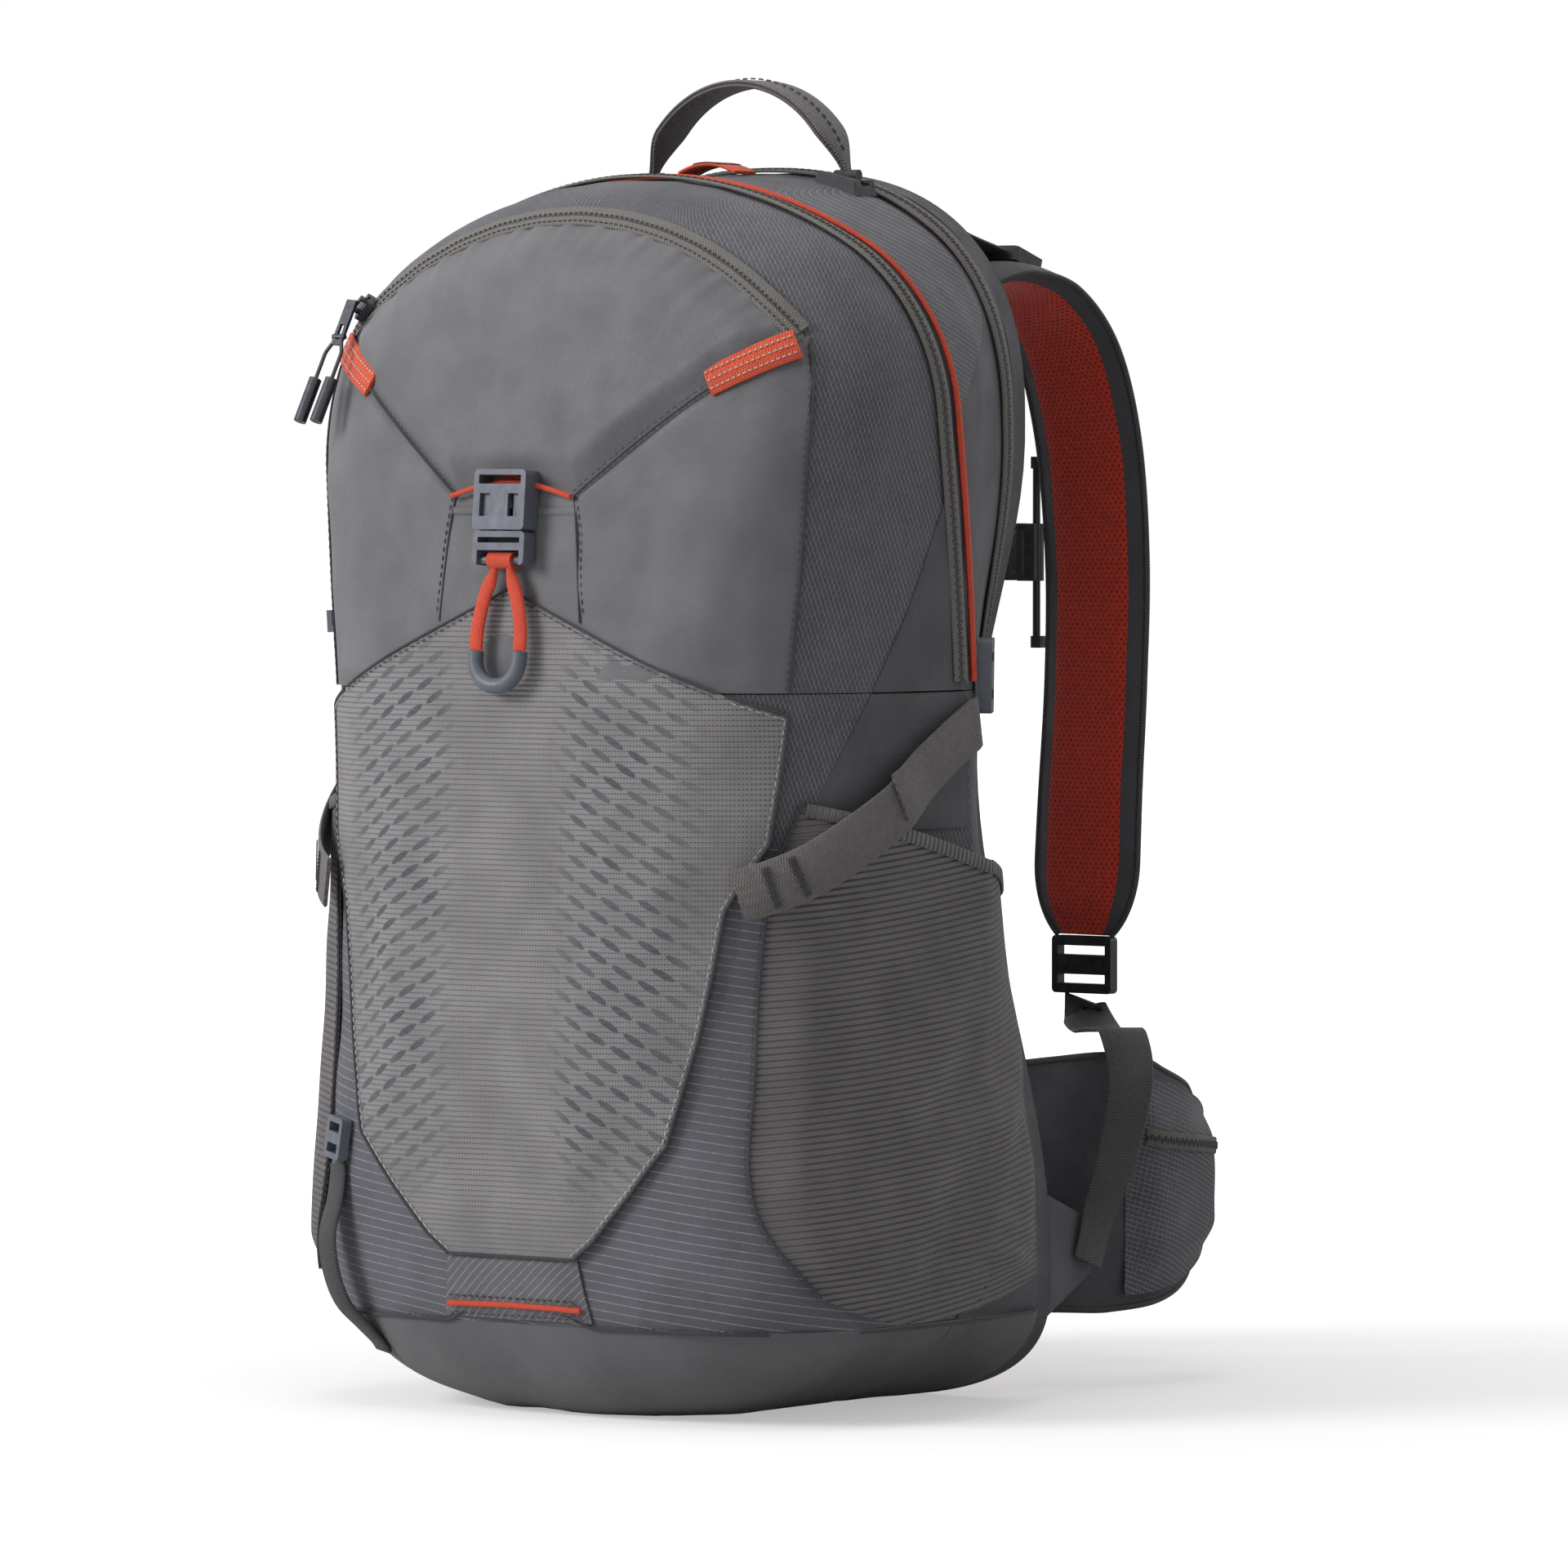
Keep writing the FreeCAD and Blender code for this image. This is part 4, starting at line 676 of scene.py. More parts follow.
def striped_material(name, colour, angle, spacing, width, cross=None):
    """Cloth with fine pale lines, and with fainter ones across them if an angle is given."""
    shade, u, v = cloth(name, colour)
    mask = lines(u, v, angle, spacing, width)
    if cross:
        mask = mask.math("MAXIMUM", lines(u, v, cross, spacing, width) * 0.45)
    broken = mask * shade.noise(420.0, 1.0).ramp(0.25, 0.6, 0.45, 0.95)
    shade.set("Base Color", mixed(broken, shade.worn, linear(LINE)))
    shade.bump(mask, 0.00012, 0.8)
    return shade.material


def dotted_print(shade, u, v):
    """Two soft fields of small slanted dabs, a generic print in the cloth's own darker tone."""
    side = u.size()
    field = side.ramp(0.020, 0.038) * side.ramp(0.070, 0.094, 1.0, 0.0)
    high = v.ramp(0.080, 0.120) * v.ramp(0.285, 0.325, 1.0, 0.0)
    slanted = (v + side * DAB_SLANT) / DAB_ROW
    columns = (side / DAB_COLUMN + slanted.math("FLOOR") * 0.5).zigzag()
    dab = (slanted.zigzag() / 0.20) ** 2.0 + (columns / 0.42) ** 2.0
    mask = dab.ramp(0.75, 1.1, 1.0, 0.0)
    return field * high * mask * shade.noise(45.0).ramp(0.35, 0.6, 0.62, 0.95)


def ribbed_material(name, colour, line_colour, spacing, dashed=True, motif=None):
    """Stretch mesh: raised ribs with open dark lines between them, broken into small meshes."""
    shade, u, v = cloth(name, colour, thread=0.0006)
    gap = lines(u, v, 0.0, spacing, spacing * 0.36)
    if dashed:
        gap = gap * (1.0 - lines(u, v, 90.0, spacing * 0.62, spacing * 0.3) * 0.6)
    colour = mixed(gap * 0.9, shade.worn, linear(line_colour))
    if motif:
        colour = mixed(motif(shade, u, v), colour, linear(DAB_COLOUR))
    shade.set("Base Color", colour)
    shade.bump(v.sine(spacing), 0.00022, 0.7)
    return shade.material


def webbing_material(name, colour, light=0.25, rib=0.0012):
    """Webbing: chevron ribs across the band, from its own across and along map."""
    shade = Shade(name, 0.62, 0.1)
    u, v = shade.weave()
    base = linear(colour)
    chevron = v + (u / (rib * 3.2)).zigzag() * (rib * 1.6)
    both = chevron.sine(rib) + u.sine(rib * 0.8) * 0.5
    mottled = mixed(shade.noise(300.0).ramp(*MOTTLE), toned(base, 1 - light * 1.6), base)
    shade.set("Base Color", mixed(both.ramp(-1.2, 1.2), mottled, toned(base, 1 + light)))
    shade.bump(both, 0.00014, 0.8)
    return shade.material


def mesh_pad_material(name, colour, hole_colour, spacing):
    """Perforated spacer mesh: staggered oval holes in a springy knit."""
    hole = 0.30
    squash = 0.75
    shade = Shade(name, 0.85, 0.2)
    u, v = shade.weave()
    row = v / (spacing * squash)
    column = u / spacing + row.math("FLOOR").math("MODULO", 2.0) * 0.5
    across = column.math("FRACT") - 0.5
    up = (row.math("FRACT") - 0.5) * squash
    mask = (across * across + up * up).math("SQRT").ramp(hole * 0.55, hole, 1.0, 0.0)
    base = linear(colour)
    mottled = mixed(shade.noise(500.0, 2.0).ramp(*MOTTLE), toned(base, 0.75), base)
    shade.set("Base Color", mixed(mask, mottled, linear(hole_colour)))
    shade.bump(mask, -0.0006, 0.9)
    return shade.material


def plastic_material(name, colour, roughness=0.42):
    """Moulded plastic: a fine spark-eroded grain, faint scuffs and slightly paler worn places."""
    shade = Shade(name, roughness)
    base = linear(colour)
    worn = shade.noise(90.0, 5.0, 0.65).ramp(0.45, 0.75)
    shade.set("Base Color", mixed(worn, base, toned(base, 1.25, 0.01)))
    shade.set("Roughness", shade.noise(260.0, 4.0).ramp(*MOTTLE, roughness - 0.08, roughness + 0.12))
    shade.bump(shade.noise(1800.0, 2.0), 0.00004, 0.6)
    return shade.material


def metal_material(name, colour, roughness=0.36, metallic=0.85):
    shade = Shade(name, roughness, 0.0, metallic)
    base = linear(colour)
    worn = shade.noise(240.0, 5.0, 0.7).ramp(0.5, 0.8)
    shade.set("Base Color", mixed(worn, base, toned(base, 1.7, 0.02)))
    shade.set("Roughness", shade.noise(400.0).ramp(*MOTTLE, roughness - 0.1, roughness + 0.15))
    shade.bump(shade.noise(900.0), 0.00003, 0.6)
    return shade.material


def coil_tape_material(name, colour, dark_colour):
    """Zip tape in a herringbone knit with the dark line of its chain down the middle."""
    shade = Shade(name, 0.7, 0.1)
    u, v = shade.weave()
    chevron = (v + (u / 0.0032).zigzag() * 0.003).sine(0.0014)
    base = linear(colour)
    knit = mixed(chevron.ramp(-0.8, 0.8), toned(base, 0.55), base)
    middle = u.size().ramp(0.0003, 0.0007, 1.0, 0.0)
    shade.set("Base Color", mixed(middle * 0.85, knit, linear(dark_colour)))
    shade.bump(chevron, 0.00012, 0.7)
    shade.bump(middle, -0.0003, 0.8)
    return shade.material


taffeta = cloth_material("taffeta", (108, 108, 112), roughness=0.66, sheen=0.2)
base_cloth = cloth_material("base_cloth", (98, 98, 101), roughness=0.62, sheen=0.15)
plain_side = cloth_material("plain_side", (82, 81, 86), roughness=0.74)
lining_cloth = cloth_material("lining_cloth", (122, 121, 122), roughness=0.8)
edge_cloth = cloth_material("edge_cloth", (66, 64, 70), roughness=0.7, sheen=0.1)
belt_cloth = cloth_material("belt_cloth", (70, 68, 74), roughness=0.72)
striped_high = striped_material("striped_high", (84, 84, 90), 64.0, 0.0024, 0.00034, cross=-52.0)
striped_low = striped_material("striped_low", (96, 97, 104), 6.0, 0.0037, 0.00045)
striped_lens = striped_material("striped_lens", (84, 83, 88), 20.0, 0.0020, 0.00030, cross=100.0)
striped_patch = striped_material("striped_patch", (104, 103, 108), -38.0, 0.0030, 0.00045)
front_mesh = ribbed_material("front_mesh", (146, 143, 144), (76, 75, 80), 0.0021, motif=dotted_print)
side_mesh = ribbed_material("side_mesh", (112, 107, 108), (62, 60, 63), 0.0026, dashed=False)
orange_webbing = webbing_material("orange_webbing", (226, 84, 48), 0.2)
orange_cord = webbing_material("orange_cord", (222, 74, 44), 0.15, rib=0.0009)
dark_webbing = webbing_material("dark_webbing", (52, 50, 54))
grey_webbing = webbing_material("grey_webbing", (104, 99, 99))
tape_grey = coil_tape_material("tape_grey", (128, 124, 120), (50, 48, 50))
tape_dark = coil_tape_material("tape_dark", (112, 107, 103), (58, 55, 55))
# The pads' red is brighter than their own colour: partly their real red, partly painted light for the inner
# sides, which face the pack and get little lamp light
strap_mesh = mesh_pad_material("strap_mesh", (226, 60, 32), (150, 30, 18), 0.0026)
back_mesh = mesh_pad_material("back_mesh", (62, 61, 66), (22, 22, 25), 0.0050)
blue_plastic = plastic_material("blue_plastic", (92, 97, 108))
dark_plastic = plastic_material("dark_plastic", (36, 36, 40))
board_plastic = plastic_material("board_plastic", (214, 214, 212), 0.5)
slider_metal = metal_material("slider_metal", (72, 72, 78))
wire_steel = metal_material("wire_steel", (170, 170, 174), 0.3, 1.0)
thread_white = cloth_material("thread_white", (196, 190, 184), thread=0.0002)
thread_dark = cloth_material("thread_dark", (62, 61, 66), thread=0.0002)


# The pack's skins

def welded(obj, cuts, outward):
    """Closes a grid's seams, trims it by planes and turns it so that its faces look outward."""
    bm = bmesh.new()
    bm.from_mesh(obj.data)
    bmesh.ops.remove_doubles(bm, verts=bm.verts, dist=0.00002)
    for place, drop in cuts:
        geometry = bm.verts[:] + bm.edges[:] + bm.faces[:]
        bmesh.ops.bisect_plane(bm, geom=geometry, dist=1e-7, plane_co=place, plane_no=drop, clear_outer=True)
    bmesh.ops.recalc_face_normals(bm, faces=bm.faces)
    if sum(outward(face) for face in bm.faces) < 0:
        bmesh.ops.reverse_faces(bm, faces=bm.faces)
    bm.to_mesh(obj.data)
    bm.free()


def skin(name, surface, reaches, cuts, body, material, replaced=(), grow=0.0, puff=0.0, seed=1):
    """A thin shell of the dome or of what lies behind the zip, trimmed by planes of (place, side to drop)."""
    station, reach = np.meshgrid(STATIONS, reaches)
    points = surface(station, reach, grow)
    uvs = around(points)
    if puff:
        _, normals = on_surface(surface, np.clip(station, -2.995, 2.995), reach)
        points = points + normals * (puff * ripple(uvs[..., 0], uvs[..., 1], seed, 0.055))[..., None]
    points[..., 2] = np.maximum(points[..., 2], 0.0)
    obj = new_object(name, points.reshape(-1, 3), grid_faces(*station.shape), uvs.reshape(-1, 2))
    centre = Vector((0, 0, DOME_Z))
    welded(obj, cuts, lambda face: face.normal.dot(face.calc_center_median() - centre))
    thicken(obj, CLOTH)
    return finish_mesh(obj, body, material, replaced)


def apply_modifiers(obj):
    bpy.context.view_layer.update()
    graph = bpy.context.evaluated_depsgraph_get()
    mesh = bpy.data.meshes.new_from_object(obj.evaluated_get(graph))
    old = obj.data
    obj.modifiers.clear()
    obj.data = mesh
    mesh.name = old.name
    bpy.data.meshes.remove(old)


def thicken(obj, thickness):
    solid = obj.modifiers.new("thickness", "SOLIDIFY")
    solid.thickness = thickness
    solid.offset = -1.0
    apply_modifiers(obj)


dome_reaches = np.linspace(0.0, 1.0, 64)
rear_reaches = np.linspace(0.0, 1.0, 40)
above_hinge = ((0, 0, HINGE_Z + 0.0002), (0, 0, -1))
below_hinge = ((0, 0, HINGE_Z - 0.0002), (0, 0, 1))
above_base = ((0, 0, BASE_Z), (0, 0, -1))
above_stripe_seam = ((0, 0, STRIPE_SEAM_Z), (0, -0.35, -1))
below_stripe_seam = ((0, 0, STRIPE_SEAM_Z), (0, 0.35, 1))
below_base = ((0, 0, BASE_Z), (0, 0, 1))
ahead_of_back = ((0, BACK_PANEL_Y, 0), (0, 1, 0))

INSIDE = -CORE_DEPTH
BASE_GROW = 0.0004
SKINS = (
    ("front_gusset", dome, [above_hinge], "front_panel", "striped_fabric", striped_high, ["front_skin"],
     0, 0.0004, 1),
    ("rear_upper_skin", rear, [above_hinge, ahead_of_back], "bag", "striped_fabric", plain_side,
     ["top_gusset"], 0, 0.0005, 2),
    ("front_middle_skin", dome, [below_hinge, above_stripe_seam], "bag", "striped_fabric", striped_high, [],
     0, 0.0004, 1),
    ("front_lower_skin", dome, [below_stripe_seam, above_base], "bag", "striped_fabric", striped_low,
     ["lower_panel"], 0, 0.0006, 3),
    ("rear_lower_skin", rear, [below_hinge, above_base, ahead_of_back], "bag", "striped_fabric", plain_side,
     [], 0, 0.0006, 4),
    ("base_front", dome, [below_base], "bag", "taffeta", base_cloth, ["base_panel"], BASE_GROW, 0.0009, 5),
    ("base_rear", rear, [below_base, ahead_of_back], "bag", "taffeta", base_cloth, [], BASE_GROW, 0.0009, 6),
    ("lining_bag_front", dome, [below_hinge], "bag", "lining", lining_cloth, ["main_compartment"],
     INSIDE, 0.0006, 7),
    ("lining_bag_rear", rear, [], "bag", "lining", lining_cloth, [], INSIDE, 0.0006, 8),
    ("lining_front_panel", dome, [above_hinge], "front_panel", "lining", lining_cloth, ["front_panel"],
     INSIDE, 0.0006, 9),
)
for name, surface, cuts, body, slot, material, replaced, grow, puff, seed in SKINS:
    reaches = dome_reaches if surface is dome else rear_reaches
    skin(name, surface, reaches, cuts, body, material, replaced, grow, puff, seed)


def back_sheet(name, y, grow, thickness, material, replaced=(), channels=False):
    """The flat of the back: from its middle out to the outline."""
    station, reach = np.meshgrid(STATIONS, np.linspace(0.0, 1.0, 48))
    side = np.where(station < 0, -1.0, 1.0)
    edge_x, edge_z = back(np.abs(station), grow)
    middle_z = 0.24
    x = side * edge_x * reach
    z = middle_z + (edge_z - middle_z) * reach
    out = np.zeros_like(x)
    if channels:
        spine = 1.0 - smooth((np.abs(x) - 0.010) / 0.012)
        rows = np.abs(((z - 0.020) / 0.074) % 1.0 - 0.5) * 0.074
        row = 1.0 - smooth((rows - 0.0016) / 0.005)
        out = -0.0035 * np.maximum(spine, row * smooth((np.abs(x) - 0.012) / 0.02))
        out = out * (1.0 - smooth((reach - 0.86) / 0.1)) + 0.0004
    points = stacked(x, np.full_like(x, y) + out, np.maximum(z, 0.0))
    uvs = stacked(x, z)
    obj = new_object(name, points.reshape(-1, 3), grid_faces(*station.shape), uvs.reshape(-1, 2))
    welded(obj, [], lambda face: face.normal.y)
    thicken(obj, thickness)
    return finish_mesh(obj, "bag", material, replaced)


back_sheet("back_mesh_panel", BACK_Y, 0.0, 0.0015, back_mesh, ["back_panel"], True)
back_sheet("back_lining", BACK_Y - CORE_DEPTH, -CORE_DEPTH, CLOTH, lining_cloth)
behind_panel = ((0, BACK_PANEL_Y, 0), (0, -1, 0))
skin("back_border", rear, np.linspace(0.80, 1.0, 12), [behind_panel], "bag", edge_cloth)


# Sewn panels over the skins

def edge_fade(u, v, soft=0.12):
    """0 at a patch's border and 1 inside it, for places u and v from 0 to 1."""
    near = np.minimum(np.minimum(u, 1 - u), np.minimum(v, 1 - v))
    return smooth(near / soft)


def front_patch(name, x, z, lift, body, material, replaced=(), thickness=CLOTH):
    points, normals = on_front(x, z)
    obj = cloth_panel(name, points + normals * lift[..., None], around(points), thickness, normals)
    return finish_mesh(obj, body, material, replaced)


def flank_patch(name, y, z, side, lift, body, material, replaced=(), thickness=CLOTH):
    points, normals = on_flank(y, z, side)
    obj = cloth_panel(name, points + normals * lift[..., None], around(points), thickness, normals)
    return finish_mesh(obj, body, material, replaced)


SEAM_Z = [HINGE_Z + 0.0003, 0.318, 0.345, 0.393, 0.415, 0.430]
SEAM_X = [0.1140, 0.1165, 0.1190, 0.1215, 0.1200, 0.1160]
PANEL_TOP_Z = 0.4335
SLIT_X = 0.030
SLIT_Z = 0.368
TAB_INNER = (0.085, 0.410)


def seam_x(z):
    return np.interp(z, SEAM_Z, SEAM_X)


def front_taffeta():
    u, v = np.meshgrid(np.linspace(0, 1, 120), np.linspace(0, 1, 90))
    x = seam_x(HINGE_Z + (PANEL_TOP_Z - HINGE_Z) * v) * (2 * u - 1)
    top = np.minimum(PANEL_TOP_Z, pocket_low(x)) + 0.0008
    z = HINGE_Z + 0.0004 + (top - HINGE_Z) * v
    wave = ripple(x, z, 21, 0.045) * 0.0007 + ripple(x * 2.2, z * 0.7, 22, 0.03) * 0.0003
    lift = 0.0009 + (0.0012 + wave) * edge_fade(u, v, 0.06)
    front_patch("front_side_panels", x, z, lift, "front_panel", taffeta)


def pocket_low(x):
    ax = np.abs(x)
    return np.interp(ax, [0.0, SLIT_X, TAB_INNER[0], TOP_ZIP_END_X],
                     [SLIT_Z + 0.003, SLIT_Z, TAB_INNER[1], TOP_ZIP_END_Z])


def pocket_high(x):
    return ARC_CENTRE_Z + np.sqrt(ARC_RADIUS ** 2 - x ** 2)


def top_pocket():
    """The zipped top pocket: full in its middle, puckered along its zip."""
    u, v = np.meshgrid(np.linspace(0.004, 0.996, 200), np.linspace(0, 1, 90))
    x = TOP_ZIP_END_X * (2 * u - 1)
    low = pocket_low(x)
    high = pocket_high(x)
    z = low + (high - low) * v
    from_top = high - z
    turn = np.arctan2(x, z - ARC_CENTRE_Z) * ARC_RADIUS
    pucker = (np.sin(turn * 2 * math.pi / 0.0135 + 1.5 * ripple(x, z, 31, 0.05))
              + 0.6 * np.sin(turn * 2 * math.pi / 0.0083 + 1.0)) * np.exp(-from_top / 0.010)
    body = smooth(from_top / 0.022) * smooth((z - low) / 0.016) * smooth(np.minimum(u, 1 - u) / 0.10)
    folds = ripple(x * 0.8, z * 1.4, 32, 0.05) * 0.0012 + ripple(x, z, 33, 0.024) * 0.0004
    dip = np.exp(-((x - 0.024) / 0.010) ** 2 - ((z - 0.392) / 0.012) ** 2) * 0.0022
    lift = 0.0012 + 0.0052 * body + folds * body + pucker * 0.0005 * smooth(from_top / 0.004) - dip * body
    front_patch("top_pocket_cloth", x, z, lift, "front_panel", taffeta, ["top_pocket"])


def front_plain_side(low, high, body, tag):
    """The plain panel between the striped one and the zip, on each flank."""
    for side, name in SIDES:
        u, v = np.meshgrid(np.linspace(0, 1, 40), np.linspace(0, 1, 60))
        z = low + (high - low) * v
        front = np.interp(z, [0.236, 0.254, 0.318, 0.366], [-0.062, -0.054, -0.019, 0.004])
        rear_edge = zip_plane(z) - 0.0022
        y = front + (rear_edge - front) * u
        lift = 0.0007 + 0.0006 * edge_fade(u, 0.5, 0.08) * (1 + ripple(y, z, 41, 0.03))
        flank_patch("plain_flank_" + tag + "_" + name, y, z, side, lift, body, plain_side)


def rear_lens():
    """The striped lens between the two zips over the shoulders."""
    for side, name in SIDES:
        u, v = np.meshgrid(np.linspace(0, 1, 40), np.linspace(0, 1, 120))
        start = 1.0 + (0.384 - BOTTOM_ROUND_Z) / (CORNER_Z - BOTTOM_ROUND_Z)
        station = start + (2.9995 - start) * v
        wide = 0.60 * smooth(v / 0.30) * (1.0 - 0.35 * smooth((v - 0.75) / 0.25))
        reach = 0.06 + wide * u
        points, normals = on_surface(rear, station, np.clip(reach, 0.0, 1.0))
        lift = 0.0005 + 0.0005 * edge_fade(u, v, 0.08)
        points = (points + normals * lift[..., None]) * np.array([side, 1, 1])
        normals = normals * np.array([side, 1, 1])
        obj = cloth_panel("rear_lens_" + name, points, around(points), 0.0007, normals)
        finish_mesh(obj, "bag", striped_lens)


MESH_FOOT_Z = 0.0650
MESH_TIP_Z = 0.3306
MESH_Z = [MESH_FOOT_Z, 0.0730, 0.0920, 0.1120, 0.1550, 0.2050, 0.2310, 0.2820, 0.3310]
MESH_X = [0.0310, 0.0420, 0.0600, 0.0770, 0.0870, 0.0950, 0.1080, 0.1135, 0.0]


def mesh_half(z):
    return np.interp(z, MESH_Z, MESH_X)


def stash_mesh():
    """The stretch pocket, one cloth from its foot to its point over the hinge."""
    u, v = np.meshgrid(np.linspace(0, 1, 150), np.linspace(0, 1, 210))
    z = MESH_FOOT_Z + (MESH_TIP_Z - MESH_FOOT_Z) * v
    x = mesh_half(z) * (2 * u - 1) * 0.999
    inside = smooth(np.minimum(u, 1 - u) * mesh_half(z) / 0.018) * smooth((z - MESH_FOOT_Z) / 0.02)
    swell = 0.0045 * np.exp(-((z - 0.16) / 0.09) ** 2) * inside * smooth((0.331 - z) / 0.05)
    folds = ripple(x * 1.4, z * 0.5, 51, 0.05) * 0.0009 * inside * (1 - smooth((z - 0.24) / 0.06))
    lift = 0.0024 + swell + folds
    points, normals = on_front(x, z)
    obj = cloth_panel("stash_mesh", points + normals * lift[..., None], stacked(x, z), CLOTH, normals)
    finish_mesh(obj, None, front_mesh, ["stash_pocket", "stash_flap"])
    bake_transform(obj)


POCKET_BACK_Y = 0.080
POCKET_FRONT = [(-0.063, 0.052), (-0.078, 0.075), (-0.082, 0.100), (-0.078, 0.140), (-0.072, 0.213),
                (-0.062, 0.247)]
POCKET_LOW = [(-0.063, 0.052), (-0.036, 0.042), (-0.011, 0.040), (0.035, 0.044), (POCKET_BACK_Y, 0.052)]
POCKET_HEM = [(-0.062, 0.247), (-0.012, 0.233), (0.036, 0.219), (POCKET_BACK_Y, 0.206)]


def coons(low, high, first, last, columns, rows):
    """Places inside four border curves that meet at their ends."""
    b = spline(low, columns)[None]
    t = spline(high, columns)[None]
    f = spline(first, rows)[:, None]
    k = spline(last, rows)[:, None]
    u, v = np.meshgrid(np.linspace(0, 1, columns), np.linspace(0, 1, rows))
    uu = u[..., None]
    vv = v[..., None]
    corners = ((1 - uu) * (1 - vv) * b[:, :1] + uu * (1 - vv) * b[:, -1:]
               + (1 - uu) * vv * t[:, :1] + uu * vv * t[:, -1:])
    return u, v, (1 - vv) * b + vv * t + (1 - uu) * f + uu * k - corners


def pocket_lift(u, v, y, z, seed):
    inside = smooth(u / 0.10) * smooth((1 - u) / 0.10) * smooth(v / 0.12)
    open_top = 0.0022 * smooth((v - 0.75) / 0.25) * smooth(u / 0.15) * smooth((1 - u) / 0.15)
    slant = y * 0.62 - z * 0.78
    folds = np.sin((slant + 0.012 * ripple(y, z, seed, 0.09)) * 2 * math.pi / 0.043) * 0.0016
    folds = folds * smooth((0.85 - v) / 0.4) * smooth((u - 0.15) / 0.3)
    low_folds = np.sin((z + 0.25 * y) * 2 * math.pi / 0.014) * 0.0010
    low_folds = low_folds * (1 - smooth((v - 0.06) / 0.16)) * smooth((u - 0.45) / 0.3)
    soft = ripple(y, z, seed + 1, 0.05) * 0.0006
    return 0.0016 + 0.0055 * inside * (1 - 0.35 * v) + open_top + (folds + soft) * inside + low_folds * inside


def side_pockets():
    back_edge = [(POCKET_BACK_Y, 0.052), (POCKET_BACK_Y, 0.13), (POCKET_BACK_Y, 0.206)]
    for side, name in SIDES:
        u, v, place = coons(POCKET_LOW, POCKET_HEM, POCKET_FRONT, back_edge, 110, 130)
        y = place[..., 0]
        z = place[..., 1]
        lift = pocket_lift(u, v, y, z, 61 if side > 0 else 65)
        points, normals = on_flank(y, z, side)
        moved = points + normals * lift[..., None]
        uvs = stacked(y, z - 0.12 * y)
        obj = cloth_panel("side_pocket_mesh_" + name, moved, uvs, CLOTH, normals)
        finish_mesh(obj, "bag", side_mesh, ["side_pocket_" + name])
        out = normals[-1][1:-1]
        hem = moved[-1][1:-1] + out * 0.0004 + np.array([0, 0, -0.002])
        finish_mesh(ribbon("pocket_hem_" + name, hem, out, 0.0055, 0.0014), "bag", side_mesh)
        out = normals[:, 0]
        seam("pocket_seam_" + name, moved[:, 0] + out * 0.0002, out, "bag", "striped_fabric")


def gear_patch():
    u, v = np.meshgrid(np.linspace(0, 1, 60), np.linspace(0, 1, 30))
    z = 0.0400 + 0.0262 * v
    x = (0.0370 - 0.0045 * v) * (2 * u - 1)
    lift = 0.0013 + 0.0012 * edge_fade(u, v, 0.2) * (1 + 0.4 * ripple(x, z, 71, 0.02))
    front_patch("gear_patch_cloth", x, z, lift, "bag", striped_patch, ["gear_patch"])
    x = np.linspace(-0.0335, 0.0335, 60)
    points, normals = on_front(x, np.full_like(x, 0.0455) + 0.0006 * np.cos(x * 46))
    line = sweep("gear_cord", points + normals * 0.0030, normals, round_profile(0.0012))
    finish_mesh(line, "bag", orange_cord)
    for drop, name in ((-0.0035, "low"), (0.0035, "high")):
        row, normal = on_front(x, np.full_like(x, 0.0455 + drop))
        stitches = stitch_row("gear_stitch_" + name, row + normal * 0.0026, normal)
        finish_mesh(stitches, "bag", thread_dark)


# Seams, zips and trim

def seam(name, points, normals, body, slot, radius=0.00055, stitches=0.0016, pale=False):
    """A fine dark seam line with a row of stitches beside it."""
    line = sweep(name, points + normals * 0.0001, normals, round_profile(radius, 6))
    finish_mesh(line, body, thread_dark)
    if stitches:
        across = directions(points, normals)[1]
        row = points + across * stitches
        obj = stitch_row(name + "_stitches", row, normals, radius=0.0002, lift=0.0003)
        finish_mesh(obj, body, thread_white if pale else thread_dark)


def front_seam(name, places, body, slot, lift, count=80, **more):
    path = spline(places, count)
    points, normals = on_front(path[:, 0], path[:, 1])
    seam(name, points + normals * lift, normals, body, slot, **more)


def front_seams():
    outer = list(zip(SEAM_X, SEAM_Z))
    diagonal = [(SLIT_X, SLIT_Z), (0.057, 0.389), TAB_INNER]
    centre = [(0.030, 0.368), (0.0325, 0.350), (0.0355, 0.318)]
    seam_runs = ((outer, "outer", 0.0013), (diagonal, "diagonal", 0.0026), (centre, "centre", 0.0022))
    for places, name, lift in seam_runs:
        for side, side_name in SIDES:
            mirrored = [(side * x, z) for x, z in places]
            front_seam("seam_%s_%s" % (name, side_name), mirrored, "front_panel", "taffeta", lift,
                       stitches=side * 0.0016)
    x = np.linspace(-SLIT_X, SLIT_X, 50)
    points, normals = on_front(x, SLIT_Z + 0.0055 * np.cos(x / SLIT_X * math.pi / 2) - 0.0005)
    lip = sweep("slit_binding", points + normals * 0.0050, normals, round_profile(0.0011))
    finish_mesh(lip, "front_panel", orange_cord)
    x = np.linspace(-0.0315, 0.0315, 40)
    points, normals = on_front(x, np.full_like(x, SLIT_Z - 0.006))
    fold = sweep("slit_fold", points + normals * 0.0021, normals, band_profile(0.0030, 0.0006))
    finish_mesh(fold, "front_panel", taffeta)


